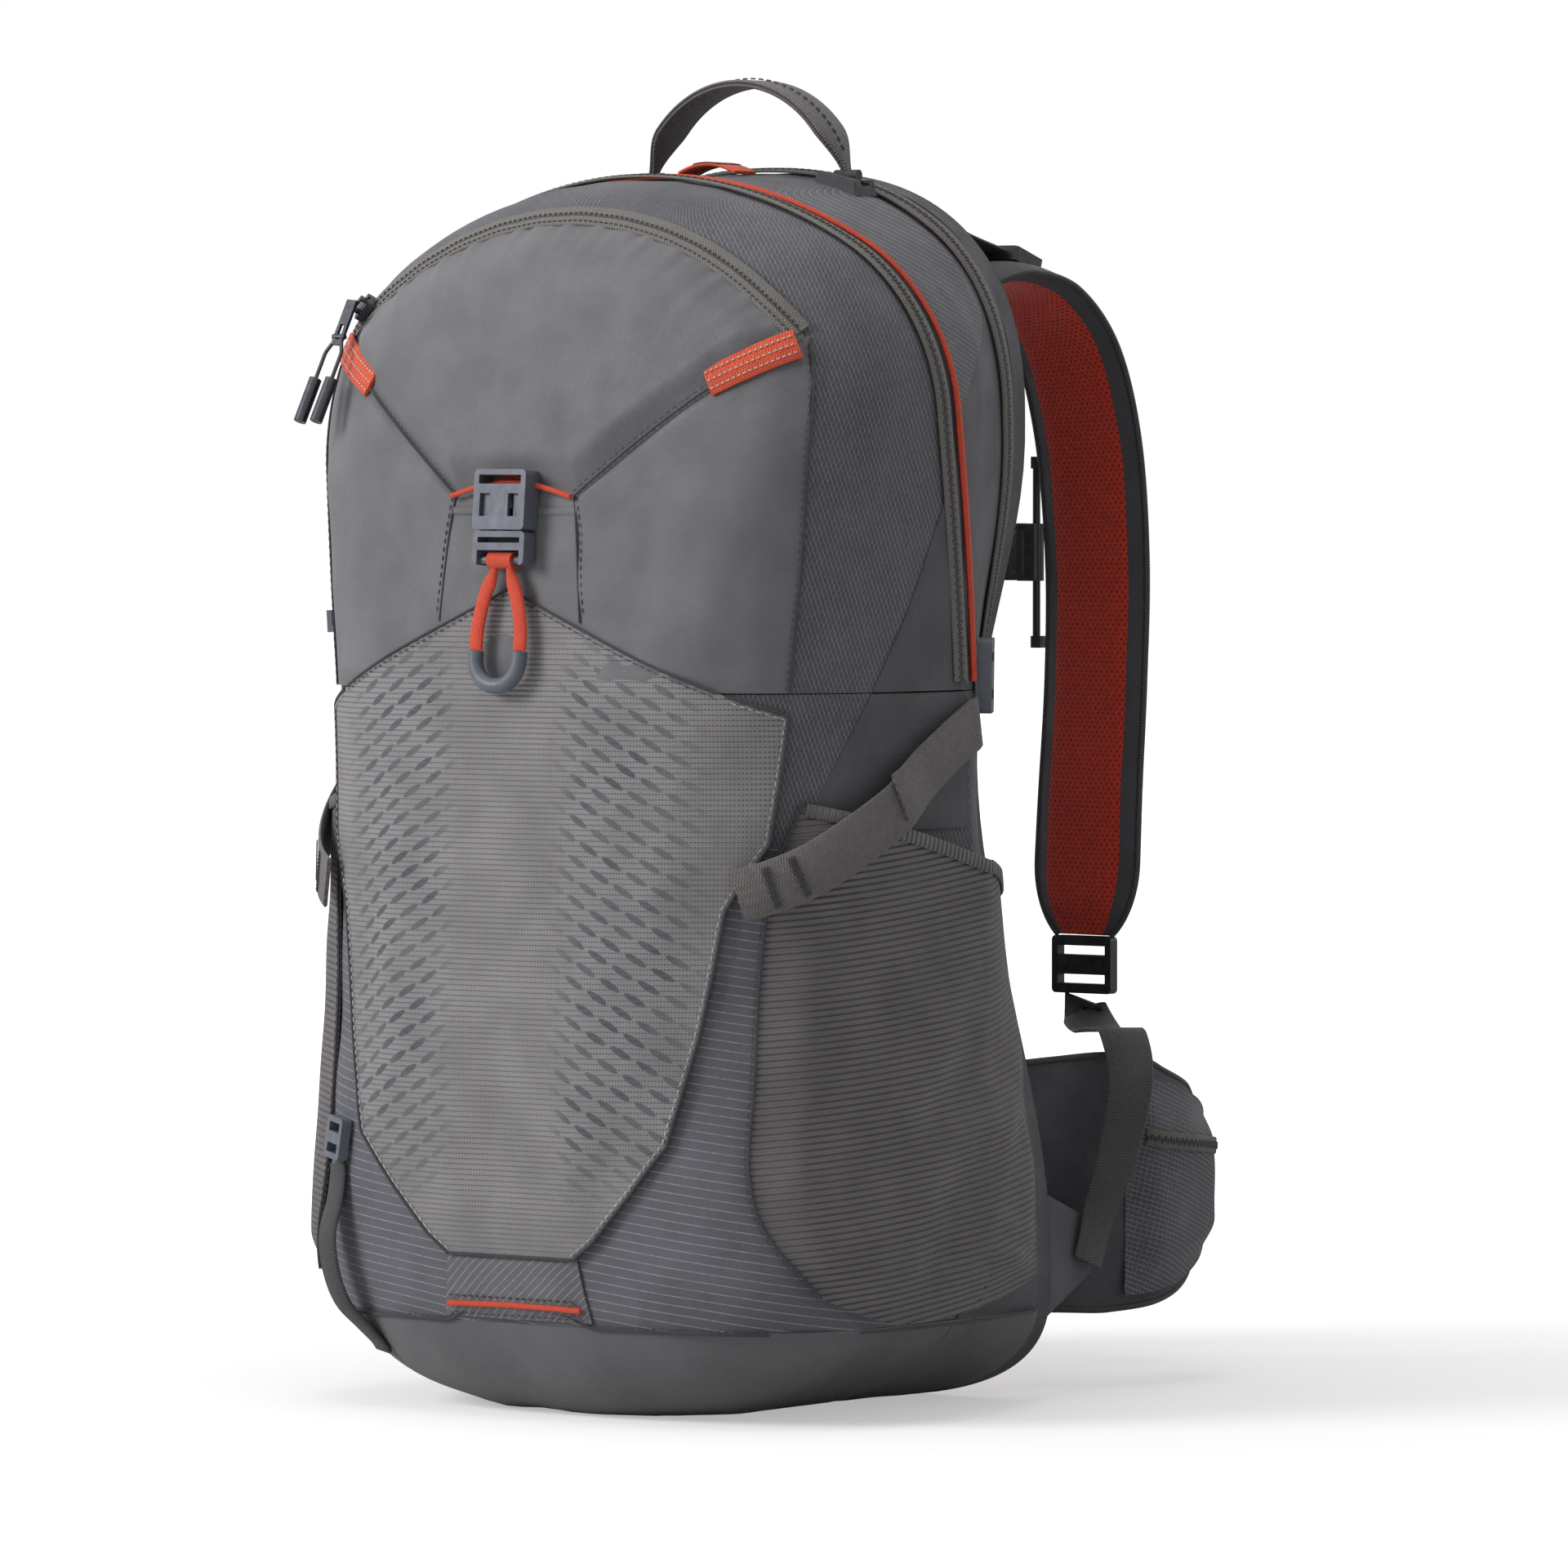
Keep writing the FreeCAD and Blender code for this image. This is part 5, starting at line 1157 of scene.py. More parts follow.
def mesh_seams():
    z = np.linspace(MESH_FOOT_Z + 0.0005, HINGE_Z - 0.0006, 160)
    top_z = np.linspace(HINGE_Z + 0.0006, MESH_TIP_Z, 60)
    for side, name in SIDES:
        points, normals = on_front(side * mesh_half(z), z)
        seam("stash_seam_" + name, points + normals * 0.0026, normals, "bag", "striped_fabric", 0.0007,
             0.0018 * side, pale=True)
        points, normals = on_front(side * mesh_half(top_z), top_z)
        seam("flap_seam_" + name, points + normals * 0.0026, normals, "front_panel", "taffeta", 0.0006,
             0.0018 * side)
    x = np.linspace(-0.031, 0.031, 40)
    points, normals = on_front(x, np.full_like(x, MESH_FOOT_Z + 0.0005))
    seam("stash_foot_seam", points + normals * 0.0026, normals, "bag", "striped_fabric", 0.0007, 0.0)


def base_seam():
    """The seam that joins the base cloth to the panels, all the way round."""
    places = np.linspace(-0.125, 0.125, 110)
    rise = 0.0055 * smooth((0.045 - np.abs(places)) / 0.02)
    points, normals = on_front(places * 0.86, np.full_like(places, BASE_Z) + rise)
    seam("base_seam_front", points + normals * 0.0012, normals, "bag", "taffeta", 0.0007, 0.0016)
    for side, name in SIDES:
        y = np.linspace(-0.046, BACK_PANEL_Y - 0.004, 80)
        points, normals = on_flank(y, np.full_like(y, BASE_Z), side)
        seam("base_seam_" + name, points + normals * 0.0009, normals, "bag", "taffeta", 0.0007, 0.0016)


def arch(surface, reach_of, start_z, count=260):
    """A path over the pack from one flank to the other, starting at a height."""
    start = 1.0 + (start_z - BOTTOM_ROUND_Z) / (CORNER_Z - BOTTOM_ROUND_Z)
    station = np.linspace(start, 2.9985, count)
    points, normals = on_surface(surface, station, reach_of(station))
    flip = np.array([-1, 1, 1])
    return np.concatenate([points, points[::-1] * flip]), np.concatenate([normals, normals[::-1] * flip])


def even_path(points, normals, count):
    """The same path in steps of one length."""
    run = arc_length(points)
    even = np.linspace(0, run[-1], count)
    return at_lengths(points, run, even), unit(at_lengths(normals, run, even))


# A zip coil's pitch, and the width, height and length of one turn
BIG_COIL = (0.0017, 0.0030, 0.0007, 0.0012)
SMALL_COIL = (0.0016, 0.0026, 0.0006, 0.0011)


def zip_chain(name, points, normals, coil, body, material):
    """The zip's coil: a row of small moulded turns across the tape."""
    pitch, width, height, length = coil
    run = arc_length(points)
    count = int(run[-1] / pitch)
    middle, normal = even_path(points, normals, count)
    along = unit(np.gradient(middle, axis=0))
    across = unit(np.cross(normal, along))
    pieces = []
    faces = []
    for index in range(count):
        side = 1.0 if index % 2 else -1.0
        centre = middle[index] + across[index] * side * width * 0.16
        for a, b in ((-1, -1), (1, -1), (1, 1), (-1, 1)):
            pieces.append(centre + across[index] * a * width / 2 + along[index] * b * length / 2)
        for a, b in ((-1, -1), (1, -1), (1, 1), (-1, 1)):
            pieces.append(centre + across[index] * a * width * 0.36 + along[index] * b * length * 0.3
                          + normal[index] * height)
        s = index * 8
        faces += [(s, s + 3, s + 2, s + 1), (s + 4, s + 5, s + 6, s + 7), (s, s + 1, s + 5, s + 4),
                  (s + 1, s + 2, s + 6, s + 5), (s + 2, s + 3, s + 7, s + 6), (s + 3, s, s + 4, s + 7)]
    obj = new_object(name, pieces, faces)
    return finish_mesh(obj, body, material)


def main_reach(station):
    plane = zip_plane(rim(station)[1])
    ahead = 0.0065 / (plane - FRONT_Y)
    return np.arccos(ahead ** (dome_power(station) / 2)) * 2 / math.pi


def piping_reach(station):
    return 0.0035 / (BACK_Y - zip_plane(rim(station)[1]))


def zips():
    points, normals = arch(dome, main_reach, HINGE_Z + 0.004)
    points, normals = even_path(points, normals, 520)
    tape = ribbon("main_zip_cloth", points, normals, 0.0088, 0.0011, 0.0011)
    finish_mesh(tape, "front_panel", tape_grey, ["main_zip_tape"])
    crest = points + normals * 0.0021
    zip_chain("main_zip_chain", crest, normals, BIG_COIL, "front_panel", tape_dark)
    points, normals = arch(rear, piping_reach, HINGE_Z + 0.004)
    points, normals = even_path(points, normals, 520)
    width = 0.0026 + 0.0016 * smooth((0.455 - points[:, 2]) / 0.08)
    piping = ribbon("zip_piping", points, normals, width, 0.0024, 0.0004)
    finish_mesh(piping, "bag", orange_cord, ["main_zip_piping"])
    points, normals = arch(rear, lambda s: np.full_like(s, 0.76), 0.305)
    points, normals = even_path(points, normals, 480)
    tape = ribbon("rear_zip_cloth", points, normals, 0.0120, 0.0012, 0.0008)
    finish_mesh(tape, "bag", tape_dark, ["rear_zip_tape"])
    zip_chain("rear_zip_chain", points + normals * 0.0019, normals, BIG_COIL, "bag", tape_grey)
    turn = np.linspace(-1, 1, 240) * (ARC_HALF_TURN - math.radians(1.2))
    points, normals = on_front(ARC_RADIUS * np.sin(turn), ARC_CENTRE_Z + ARC_RADIUS * np.cos(turn))
    wave = 0.0001 * np.sin(turn * ARC_RADIUS * 2 * math.pi / 0.021)
    tape = ribbon("top_pocket_tape", points + normals * (0.0008 + wave[:, None]), normals, 0.0104, 0.0012)
    finish_mesh(tape, "front_panel", tape_grey, ["top_pocket_zip"])
    across = directions(points, normals)[1]
    for shift, name in ((0.0009, "upper"), (-0.0034, "lower")):
        row = points + across * shift + normals * (0.0019 + wave[:, None])
        obj = stitch_row("top_zip_stitches_" + name, row, normals, 0.0026, 0.0017, 0.00026)
        finish_mesh(obj, "front_panel", thread_dark)


def corner_tabs():
    """Two short orange webbing tabs over the ends of the top pocket's zip, with white bar stitches."""
    parts = []
    rows = []
    for side in (1, -1):
        share = np.linspace(0, 1, 24)
        x = side * (0.0845 + 0.0285 * share)
        z = 0.4125 + 0.0150 * share
        points, normals = on_front(x, z)
        parts.append(ribbon("tab_band", points, normals, 0.0125, 0.0014, 0.0022))
        across = directions(points, normals)[1]
        for shift in (-0.0036, 0.0, 0.0036):
            row = points + across * shift + normals * 0.0035
            rows.append(stitch_row("tab_row", row, normals, 0.0024, 0.0015))
    bands = joined("corner_tab_bands", parts)
    finish_mesh(bands, "front_panel", orange_webbing, ["corner_tabs"])
    finish_mesh(joined("corner_tab_stitches", rows), "front_panel", thread_white)


front_taffeta()
top_pocket()
front_plain_side(HINGE_Z + 0.0004, 0.366, "front_panel", "upper")
front_plain_side(0.236, HINGE_Z - 0.0004, "bag", "lower")
rear_lens()
stash_mesh()
side_pockets()
gear_patch()
front_seams()
mesh_seams()
base_seam()
zips()
corner_tabs()


# Webbing on the outside

def lift_off_pocket(y):
    """The compression strap rides over the side pocket's front corner."""
    return 0.0030 + 0.0052 * (1.0 - smooth((y + 0.030) / 0.022))


def bar_tack(name, centre, across, along, normal, width, body, material):
    """A dense block of stitches across a strap."""
    rows = []
    for shift in (-0.0012, 0.0, 0.0012):
        ends = np.array([-0.5, -0.25, 0.0, 0.25, 0.5])[:, None] * width
        points = centre + across * ends + along * shift
        normals = np.repeat(normal[None], len(points), axis=0)
        rows.append(stitch_row(name + "_row", points, normals, 0.0016, 0.0013, 0.00035))
    finish_mesh(joined(name, rows), body, material)


def compression_straps():
    places = spline([(-0.080, 0.211), (-0.070, 0.216), (-0.060, 0.222), (-0.046, 0.232), (-0.030, 0.243),
                     (-0.014, 0.254), (0.002, 0.265), (0.014, 0.272), (0.026, 0.278)], 90)
    tail = spline([(0.020, 0.276), (0.004, 0.268), (-0.012, 0.258), (-0.022, 0.252), (-0.028, 0.249)], 50)
    for side, name in SIDES:
        points, normals = on_flank(places[:, 0], places[:, 1], side)
        rise = lift_off_pocket(places[:, 0])
        strap = ribbon("compression_band_" + name, points + normals * rise[:, None], normals, 0.0212, 0.0017)
        finish_mesh(strap, "bag", grey_webbing, ["compression_straps"])
        fold, fold_normals = on_flank(tail[:, 0], tail[:, 1], side)
        fold = fold + fold_normals * (lift_off_pocket(tail[:, 0]) + 0.0018)[:, None]
        doubled = ribbon("compression_tail_" + name, fold, fold_normals, 0.0205, 0.0016)
        finish_mesh(doubled, "bag", grey_webbing)
        along, across = directions(points, normals)
        for index in (6, 12):
            spot = points[index] + normals[index] * (rise[index] + 0.0017)
            bar_tack("compression_tack_%s_%d" % (name, index), spot, across[index], along[index],
                     normals[index], 0.018, "bag", thread_dark)


def tool_loop():
    places = spline([(-0.0945, 0.098, 0.0010), (-0.0940, 0.092, 0.0010), (-0.0930, 0.082, 0.0036),
                     (-0.0920, 0.070, 0.0084), (-0.0905, 0.057, 0.0094), (-0.0885, 0.045, 0.0080),
                     (-0.0860, 0.035, 0.0036), (-0.0840, 0.027, 0.0010), (-0.0830, 0.023, 0.0010)], 80)
    points, normals = on_front(places[:, 0], places[:, 1])
    band = ribbon("tool_loop_band", points + normals * places[:, 2:3], normals, 0.0126, 0.0017)
    finish_mesh(band, "bag", dark_webbing, ["tool_loop"])


def haul_handle():
    radius = (HANDLE_HALF ** 2 + HANDLE_RISE ** 2) / (2 * HANDLE_RISE)
    centre_z = HANDLE_PIVOT_Z + HANDLE_RISE - radius
    half_turn = math.acos((HANDLE_PIVOT_Z - centre_z) / radius)
    turn = np.linspace(-half_turn, half_turn, 120)
    normals = stacked(np.sin(turn), np.zeros_like(turn), np.cos(turn))
    points = stacked(radius * np.sin(turn), HANDLE_Y, centre_z + radius * np.cos(turn))
    from_end = radius * (half_turn - np.abs(turn))
    width = 0.0040 + 0.0160 * smooth(from_end / 0.022)
    arch_band = ribbon("handle_band", points - normals * 0.0016, normals, width, 0.0015)
    finish_mesh(arch_band, "haul_handle", grey_webbing, ["haul_handle"])
    upper = ribbon("handle_fold", points, normals, width * 0.97, 0.0015)
    finish_mesh(upper, "haul_handle", grey_webbing)
    row = points[8:-8] + normals[8:-8] * 0.0016
    stitches = stitch_row("handle_stitches", row, normals[8:-8], 0.0040, 0.0026, 0.0004)
    finish_mesh(stitches, "haul_handle", thread_dark)
    for side, name in SIDES:
        ends = np.linspace(-0.0058, 0.0058, 6)
        line = stacked(side * HANDLE_HALF + ends, HANDLE_Y, HANDLE_PIVOT_Z)
        ups = np.repeat(np.array([[0.0, 0.0, 1.0]]), 6, axis=0)
        roll = sweep("handle_root_" + name, line, ups, round_profile(0.0023, 14))
        finish_mesh(roll, "haul_handle", dark_webbing)


def handle_feet():
    """Sewn webbing feet, dipped under the handle's ends."""
    for side, name in SIDES:
        u, v = np.meshgrid(np.linspace(-1, 1, 40), np.linspace(-1, 1, 40))
        x = side * HANDLE_HALF + 0.0108 * u
        y = 0.0565 + 0.0074 * v
        plan = smooth((1 - np.abs(u)) / 0.12) * smooth((1 - np.abs(v)) / 0.14)
        dip = np.sqrt(np.maximum(0.0052 ** 2 - (y - HANDLE_Y) ** 2, 0.0))
        ground = 0.4915 - 0.22 * (np.abs(x) - HANDLE_HALF)
        top = np.minimum(ground + 0.0062 * plan, np.where(dip > 0, HANDLE_PIVOT_Z - dip, 1.0))
        points = stacked(x, y, top)
        up = np.broadcast_to(np.array([0.0, 0.0, 1.0]), points.shape)
        foot = cloth_panel("handle_foot_" + name, points, stacked(y, x), 0.0022, up)
        finish_mesh(foot, "bag", dark_webbing, ["handle_feet"])


def top_label():
    """A plain orange loop of webbing with a dark middle, sewn over the main zip."""
    share = np.linspace(-1, 1, 60)
    reach = 0.5
    for _ in range(40):
        y = rear(np.array([2.9995]), np.array([reach]))[0, 1]
        reach += (0.036 - y) * 6.0
    z = rear(np.array([2.9995]), np.array([reach]))[0, 2]
    points = stacked(0.0140 * share, 0.036, z + 0.0012 + 0.0034 * (1 - share ** 2))
    normals = unit(stacked(0.35 * share, 0.012, np.ones_like(share)))
    band = ribbon("top_label_band", points, normals, 0.0150, 0.0014)
    finish_mesh(band, "bag", orange_webbing, ["top_label"])
    middle = ribbon("top_label_middle", points[16:-16], normals[16:-16], 0.0150, 0.0004, 0.0013)
    finish_mesh(middle, "bag", dark_webbing)


def clip_strap():
    z = np.linspace(0.3605, 0.382, 40)
    points, normals = on_front(np.zeros_like(z), z)
    band = ribbon("clip_band", points + normals * 0.0013, normals, 0.0160, 0.0016)
    finish_mesh(band, "front_panel", orange_webbing, ["clip_webbing"])


def pull_loop():
    """The cord pull on the front clip: two legs from a sleeve on the plug's bar."""
    pivot = np.array([0.0, -0.104285, 0.342664])
    down = np.array([0.0, -math.sin(CLIP_LEAN), -math.cos(CLIP_LEAN)])
    out = np.array([0.0, -math.cos(CLIP_LEAN), math.sin(CLIP_LEAN)])
    right = spline([(0.0036, 0.0020), (0.0046, 0.0060), (0.0082, 0.0150), (0.0108, 0.0270),
                    (0.0110, 0.0360)], 60)
    for side, name in SIDES:
        points = pivot + stacked(side * right[:, 0], 0.0, 0.0) + right[:, 1:2] * down
        normals = np.repeat(out[None], len(points), axis=0)
        width = 0.0032 + 0.0034 * smooth(np.linspace(0, 4, len(points)))
        leg = ribbon("loop_leg_" + name, points - normals * 0.0013, normals, width, 0.0026)
        finish_mesh(leg, "pull_loop", orange_cord, ["pull_loop"])
    line = pivot + np.linspace(-0.0060, 0.0060, 6)[:, None] * np.array([1.0, 0.0, 0.0])
    normals = np.repeat(out[None], 6, axis=0)
    outer = sweep("loop_sleeve", line, normals, round_profile(0.0033, 20))
    finish_mesh(outer, "pull_loop", orange_cord)


compression_straps()
tool_loop()
haul_handle()
handle_feet()
top_label()
clip_strap()
pull_loop()


# Harness

STRAP_PATH = [(0.0, 0.0, 0.0), (0.003, 0.008, 0.009), (0.006, 0.020, 0.016), (0.010, 0.039, 0.0185),
              (0.014, 0.062, 0.011), (0.018, 0.082, -0.012), (0.0205, 0.094, -0.050), (0.022, 0.0985, -0.100),
              (0.022, 0.0975, -0.150), (0.0215, 0.094, -0.200), (0.021, 0.091, -0.256)]


def pad_profile(width, thick, sides=40, pinch=0.22):
    """A padded section: a full middle that thins to bound edges, numbered from the outer face."""
    rows = []
    for index in range(sides):
        turn = 2 * math.pi * index / sides
        c = math.cos(turn)
        s = math.sin(turn)
        x = math.copysign(abs(c) ** 0.62, c)
        swell = pinch + (1 - pinch) * (1 - abs(x) ** 3.2)
        rows.append((x * width / 2, math.copysign(abs(s) ** 0.75, s) * thick / 2 * min(1.0, swell * 1.12)))
    return rows


def pad_along(name, points, normals, widths, thicks, body, outer, inner, replaced, pinch=0.22):
    """A long pad swept along its path, with one cloth outside and another inside."""
    sides = 40
    profile = [pad_profile(w, t, sides, pinch) for w, t in zip(widths, thicks)]
    obj = finish_mesh(sweep(name, points, normals, profile), body, [outer, inner], replaced)
    for polygon in obj.data.polygons:
        if len(polygon.vertices) == 4:
            k = min(v % sides for v in polygon.vertices)
            wrap = max(v % sides for v in polygon.vertices) - k > 2
            border = abs(math.cos(2 * math.pi * (k + 0.5) / sides)) > 0.62
            polygon.material_index = 0 if (k < sides / 2 or wrap or border) else 1
    return obj


def edge_cords(name, points, normals, widths, radius, body):
    """The binding along both edges of a pad."""
    across = directions(points, normals)[1]
    for sign, side in ((1, "a"), (-1, "b")):
        line = points + across * sign * (np.asarray(widths)[:, None] / 2)
        cord = sweep("%s_%s" % (name, side), line, normals, round_profile(radius))
        finish_mesh(cord, body, dark_webbing)


def shoulder_straps():
    for side, name in SIDES:
        path = spline(STRAP_PATH, 150)
        points = stacked(side * (STRAP_HALF_GAP + path[:, 0]), PIVOT[0] + path[:, 1], PIVOT[1] + path[:, 2])
        along = unit(np.gradient(points, axis=0))
        normals = unit(np.cross(np.array([side * 1.0, 0.0, 0.0]), along)) * side
        normals = normals * np.where(normals[:, 1:2] + normals[:, 2:3] < 0, -1.0, 1.0)
        share = np.linspace(0, 1, len(points))
        swell = 1.0 + 0.05 * np.sin(share * 40)
        width = STRAP_WIDTH * np.sqrt(1 - 0.72 * np.clip((share - 0.91) / 0.09, 0, 1) ** 2)
        width = width * (0.98 - 0.02 * np.cos(share * 9))
        thick = STRAP_THICK * swell * (1 - 0.5 * smooth((share - 0.96) / 0.04)) * 0.96
        pad_along("strap_pad_" + name, points, normals, width, thick, "harness", edge_cloth,
                  strap_mesh, ["shoulder_strap_" + name])
        edge_cords("strap_binding_" + name, points, normals, width * 0.99, 0.0014, "harness")
        middle = slice(30, 128)
        webbing = ribbon("strap_webbing_" + name, points[middle], normals[middle], 0.0180, 0.0013, 0.0053)
        finish_mesh(webbing, "harness", dark_webbing)
        across = unit(np.cross(normals, along))
        for index in (42, 64, 86, 108, 122):
            spot = points[index] + normals[index] * 0.0067
            bar_tack("strap_tack_%s_%d" % (name, index), spot, across[index], along[index], normals[index],
                     0.016, "harness", thread_dark)


def pad_block(name, half, low, high, thick, corner, body, material, replaced, channels=()):
    """A crowned pad that lies on the back; channels are heights where it is sewn down."""
    u, v = np.meshgrid(np.linspace(-1, 1, 90), np.linspace(-1, 1, 80))
    square = 1.0 - 0.30 * corner
    r = np.maximum(np.abs(u), np.abs(v))
    angle = np.maximum(np.hypot(u, v), 1e-9)
    blend_in = smooth((r - 0.55) / 0.45)
    scale = 1 - blend_in * (1 - square) * smooth((angle - 1.0) / 0.41)
    x = half * u * scale
    z = (low + high) / 2 + (high - low) / 2 * v * scale
    edge = np.clip(1 - r, 0, 1)
    crown = np.sqrt(np.clip(1 - (1 - np.clip(edge / 0.22, 0, 1)) ** 2, 0, 1))
    sewn = np.ones_like(x)
    for place in channels:
        sewn = sewn - 0.45 * np.exp(-((z - place) / 0.0035) ** 2)
    full = (thick - 0.0006) * sewn * (0.93 + 0.05 * (1 - r ** 2))
    y = HARNESS_FACE + 0.0004 + crown * (full + 0.0003 * ripple(x, z, 81, 0.03))
    front = stacked(x, y, z)
    behind = stacked(x, HARNESS_FACE + 0.0002, z)
    faces = list(grid_faces(80, 90)) + [tuple(int(i) for i in f) for f in grid_faces(80, 90, 7200, True)]
    obj = new_object(name, np.concatenate([front.reshape(-1, 3), behind.reshape(-1, 3)]), faces,
                     np.concatenate([stacked(x, z).reshape(-1, 2)] * 2))
    bm = bmesh.new()
    bm.from_mesh(obj.data)
    border = [e for e in bm.edges if e.is_boundary]
    bmesh.ops.bridge_loops(bm, edges=border)
    bmesh.ops.recalc_face_normals(bm, faces=bm.faces)
    bm.to_mesh(obj.data)
    bm.free()
    finish_mesh(obj, body, material, replaced)


def webbing_line(name, points, normals, width, thick, count=60):
    path = spline(points, count)
    ups = spline(normals, count)
    return ribbon(name, path, unit(ups), width, thick, -thick / 2)


def load_lifters():
    for side, name in SIDES:
        start = np.array([side * 0.052, HARNESS_FACE + 0.0012, 0.487])
        first = np.array([side * (STRAP_HALF_GAP + 0.010), PIVOT[0] + 0.039, PIVOT[1] + 0.0185])
        second = np.array([side * (STRAP_HALF_GAP + 0.014), PIVOT[0] + 0.062, PIVOT[1] + 0.011])
        along = unit((second - first) * np.array([0.0, 1.0, 1.0]))
        face = np.array([0.0, -along[2], along[1]])
        spot = first + along * 0.010 + face * (STRAP_THICK / 2 + 0.0009)
        end = spot - along * 0.0104 + face * 0.003
        middle = (start + end) / 2 - np.array([0, 0, 0.002])
        normal = unit(np.cross(np.array([1.0, 0.0, 0.0]), end - start))
        normal = normal * (1 if normal[2] > 0 else -1)
        obj = webbing_line("lifter_band_" + name, [start, middle, end], [normal] * 3, 0.0150, 0.0016)
        finish_mesh(obj, None, dark_webbing, ["load_lifters"])
        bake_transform(obj)


def lower_webbing():
    for side, name in SIDES:
        top = np.array(LOWER_LOCK)
        tip = np.array(GUSSET_TIP)
        steps = [(0, 0, 0), (0, 0, -0.005), (0.015, -0.012, -0.011), (0.034, -0.027, -0.010)]
        points = [top + np.array(s) for s in steps]
        steps = [(0.002, 0.019, 0.086), (0.014, 0.007, 0.068), (0.011, 0.001, 0.036), (0.005, -0.003, 0.012),
                 (0.004, -0.009, -0.006)]
        points += [tip + np.array(s) for s in steps]
        wide = [(1, 0, 0), (1, 0, 0), (0.8, 0.6, 0), (0.6, 0.8, 0), (0.5, 0.85, -0.1), (0.15, 0.93, -0.35),
                (0, 0.93, -0.35), (0, 0.89, -0.45), (0, 0.89, -0.45)]
        path = spline(points, 110)
        across = unit(spline(wide, 110))
        along = unit(np.gradient(path, axis=0))
        normals = unit(np.cross(along, across))
        mirror = np.array([side, 1, 1])
        obj = ribbon("lower_band_" + name, path * mirror, normals * mirror, 0.0196, 0.0016, -0.0008)
        finish_mesh(obj, None, dark_webbing, ["lower_webbing"])
        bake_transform(obj)


def strap_gussets():
    for side, name in SIDES:
        u, v = np.meshgrid(np.linspace(0, 1, 30), np.linspace(0, 1, 24))
        x = 0.1212 + (0.1132 - 0.1212) * u
        y = 0.0955 + 0.0418 * u
        low = 0.034 + (0.049 - 0.034) * u
        high = 0.084 + (0.071 - 0.084) * u
        z = low + (high - low) * v
        points = stacked(side * (x + 0.0018), y, z)
        outward = np.broadcast_to(np.array([float(side), 0.0, 0.0]), points.shape)
        obj = cloth_panel("gusset_" + name, points, stacked(y, z), 0.0016, outward)
        finish_mesh(obj, "bag", belt_cloth, ["strap_gussets"])


def sternum_bands():
    for start, end, name in ((0.0263, 0.0312, "right"), (-0.0312, -0.0123, "left")):
        x = np.linspace(start, end, 24)
        points = stacked(x, STERNUM_Y - 0.0008, STERNUM_Z)
        normals = np.repeat(np.array([[0.0, 1.0, 0.0]]), 24, axis=0)
        obj = ribbon("sternum_band_" + name, points, normals, 0.0176, 0.0016)
        if name == "right":
            finish_mesh(obj, "sternum_strap", dark_webbing, ["sternum_webbing"])
        else:
            finish_mesh(obj, None, dark_webbing, ["sternum_webbing"])
            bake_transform(obj)


WING_PATH = [(0.002, 0.0064, 0.034, 0.130), (0.030, 0.018, 0.033, 0.134), (0.048, 0.041, 0.032, 0.137),
             (0.059, 0.065, 0.031, 0.138), (0.064, 0.090, 0.033, 0.132), (0.061, 0.115, 0.042, 0.124),
             (0.048, 0.140, 0.056, 0.112)]


def wing_line(side, count):
    path = spline(WING_PATH, count)
    points = stacked(side * (0.050 + path[:, 0]), HARNESS_FACE + path[:, 1], (path[:, 2] + path[:, 3]) / 2)
    flat = points * np.array([1, 1, 0])
    along = unit(np.gradient(flat, axis=0))
    outward = stacked(side * along[:, 1], -side * along[:, 0], 0 * along[:, 0])
    return points, outward, path[:, 3] - path[:, 2]


def hip_wings():
    for side, name in SIDES:
        body = "hip_wing_" + name
        points, outward, height = wing_line(side, 110)
        share = np.linspace(0, 1, 110)
        thick = 0.0106 * (1 - 0.45 * smooth((share - 0.94) / 0.06))
        thick = thick * (1 - 0.2 * smooth((0.06 - share) / 0.06))
        pad_along("wing_pad_" + name, points, outward, height * 0.985, thick, body,
                  belt_cloth, strap_mesh, ["hip_wing_" + name], 0.3)
        edge_cords("wing_binding_" + name, points, outward, height * 0.975, 0.0016, body)
        u, v = np.meshgrid(np.linspace(0, 1, 70), np.linspace(0, 1, 50))
        first, last = 56, 98
        place = first + (last - first) * u
        index = np.arange(110)
        base = at_lengths(points, index, place)
        face = unit(at_lengths(outward, index, place))
        tall = np.interp(place, index, height) - 0.014
        base[..., 2] += (v - 0.5) * tall
        inside = smooth(np.minimum(u, 1 - u) / 0.22) * smooth(np.minimum(v, 1 - v) / 0.26)
        lift = 0.0059 + 0.0066 * inside * (1 + 0.10 * ripple(base[..., 1], base[..., 2], 91, 0.03))
        run = place / 110 * 0.18
        pocket = cloth_panel("belt_pocket_" + name, base + face * lift[..., None],
                             stacked(side * run, base[..., 2]), CLOTH, face)
        finish_mesh(pocket, body, striped_lens, ["hip_pocket_" + name])
        row = int(0.72 * 49)
        zip_line = (base + face * (lift + 0.0001)[..., None])[row, 8:-8]
        out = face[row, 8:-8]
        tape = ribbon("belt_pocket_zip_" + name, zip_line, out, 0.0070, 0.0010)
        finish_mesh(tape, body, tape_dark)
        zip_chain("belt_pocket_chain_" + name, zip_line + out * 0.0010, out, SMALL_COIL, body,
                  tape_grey)


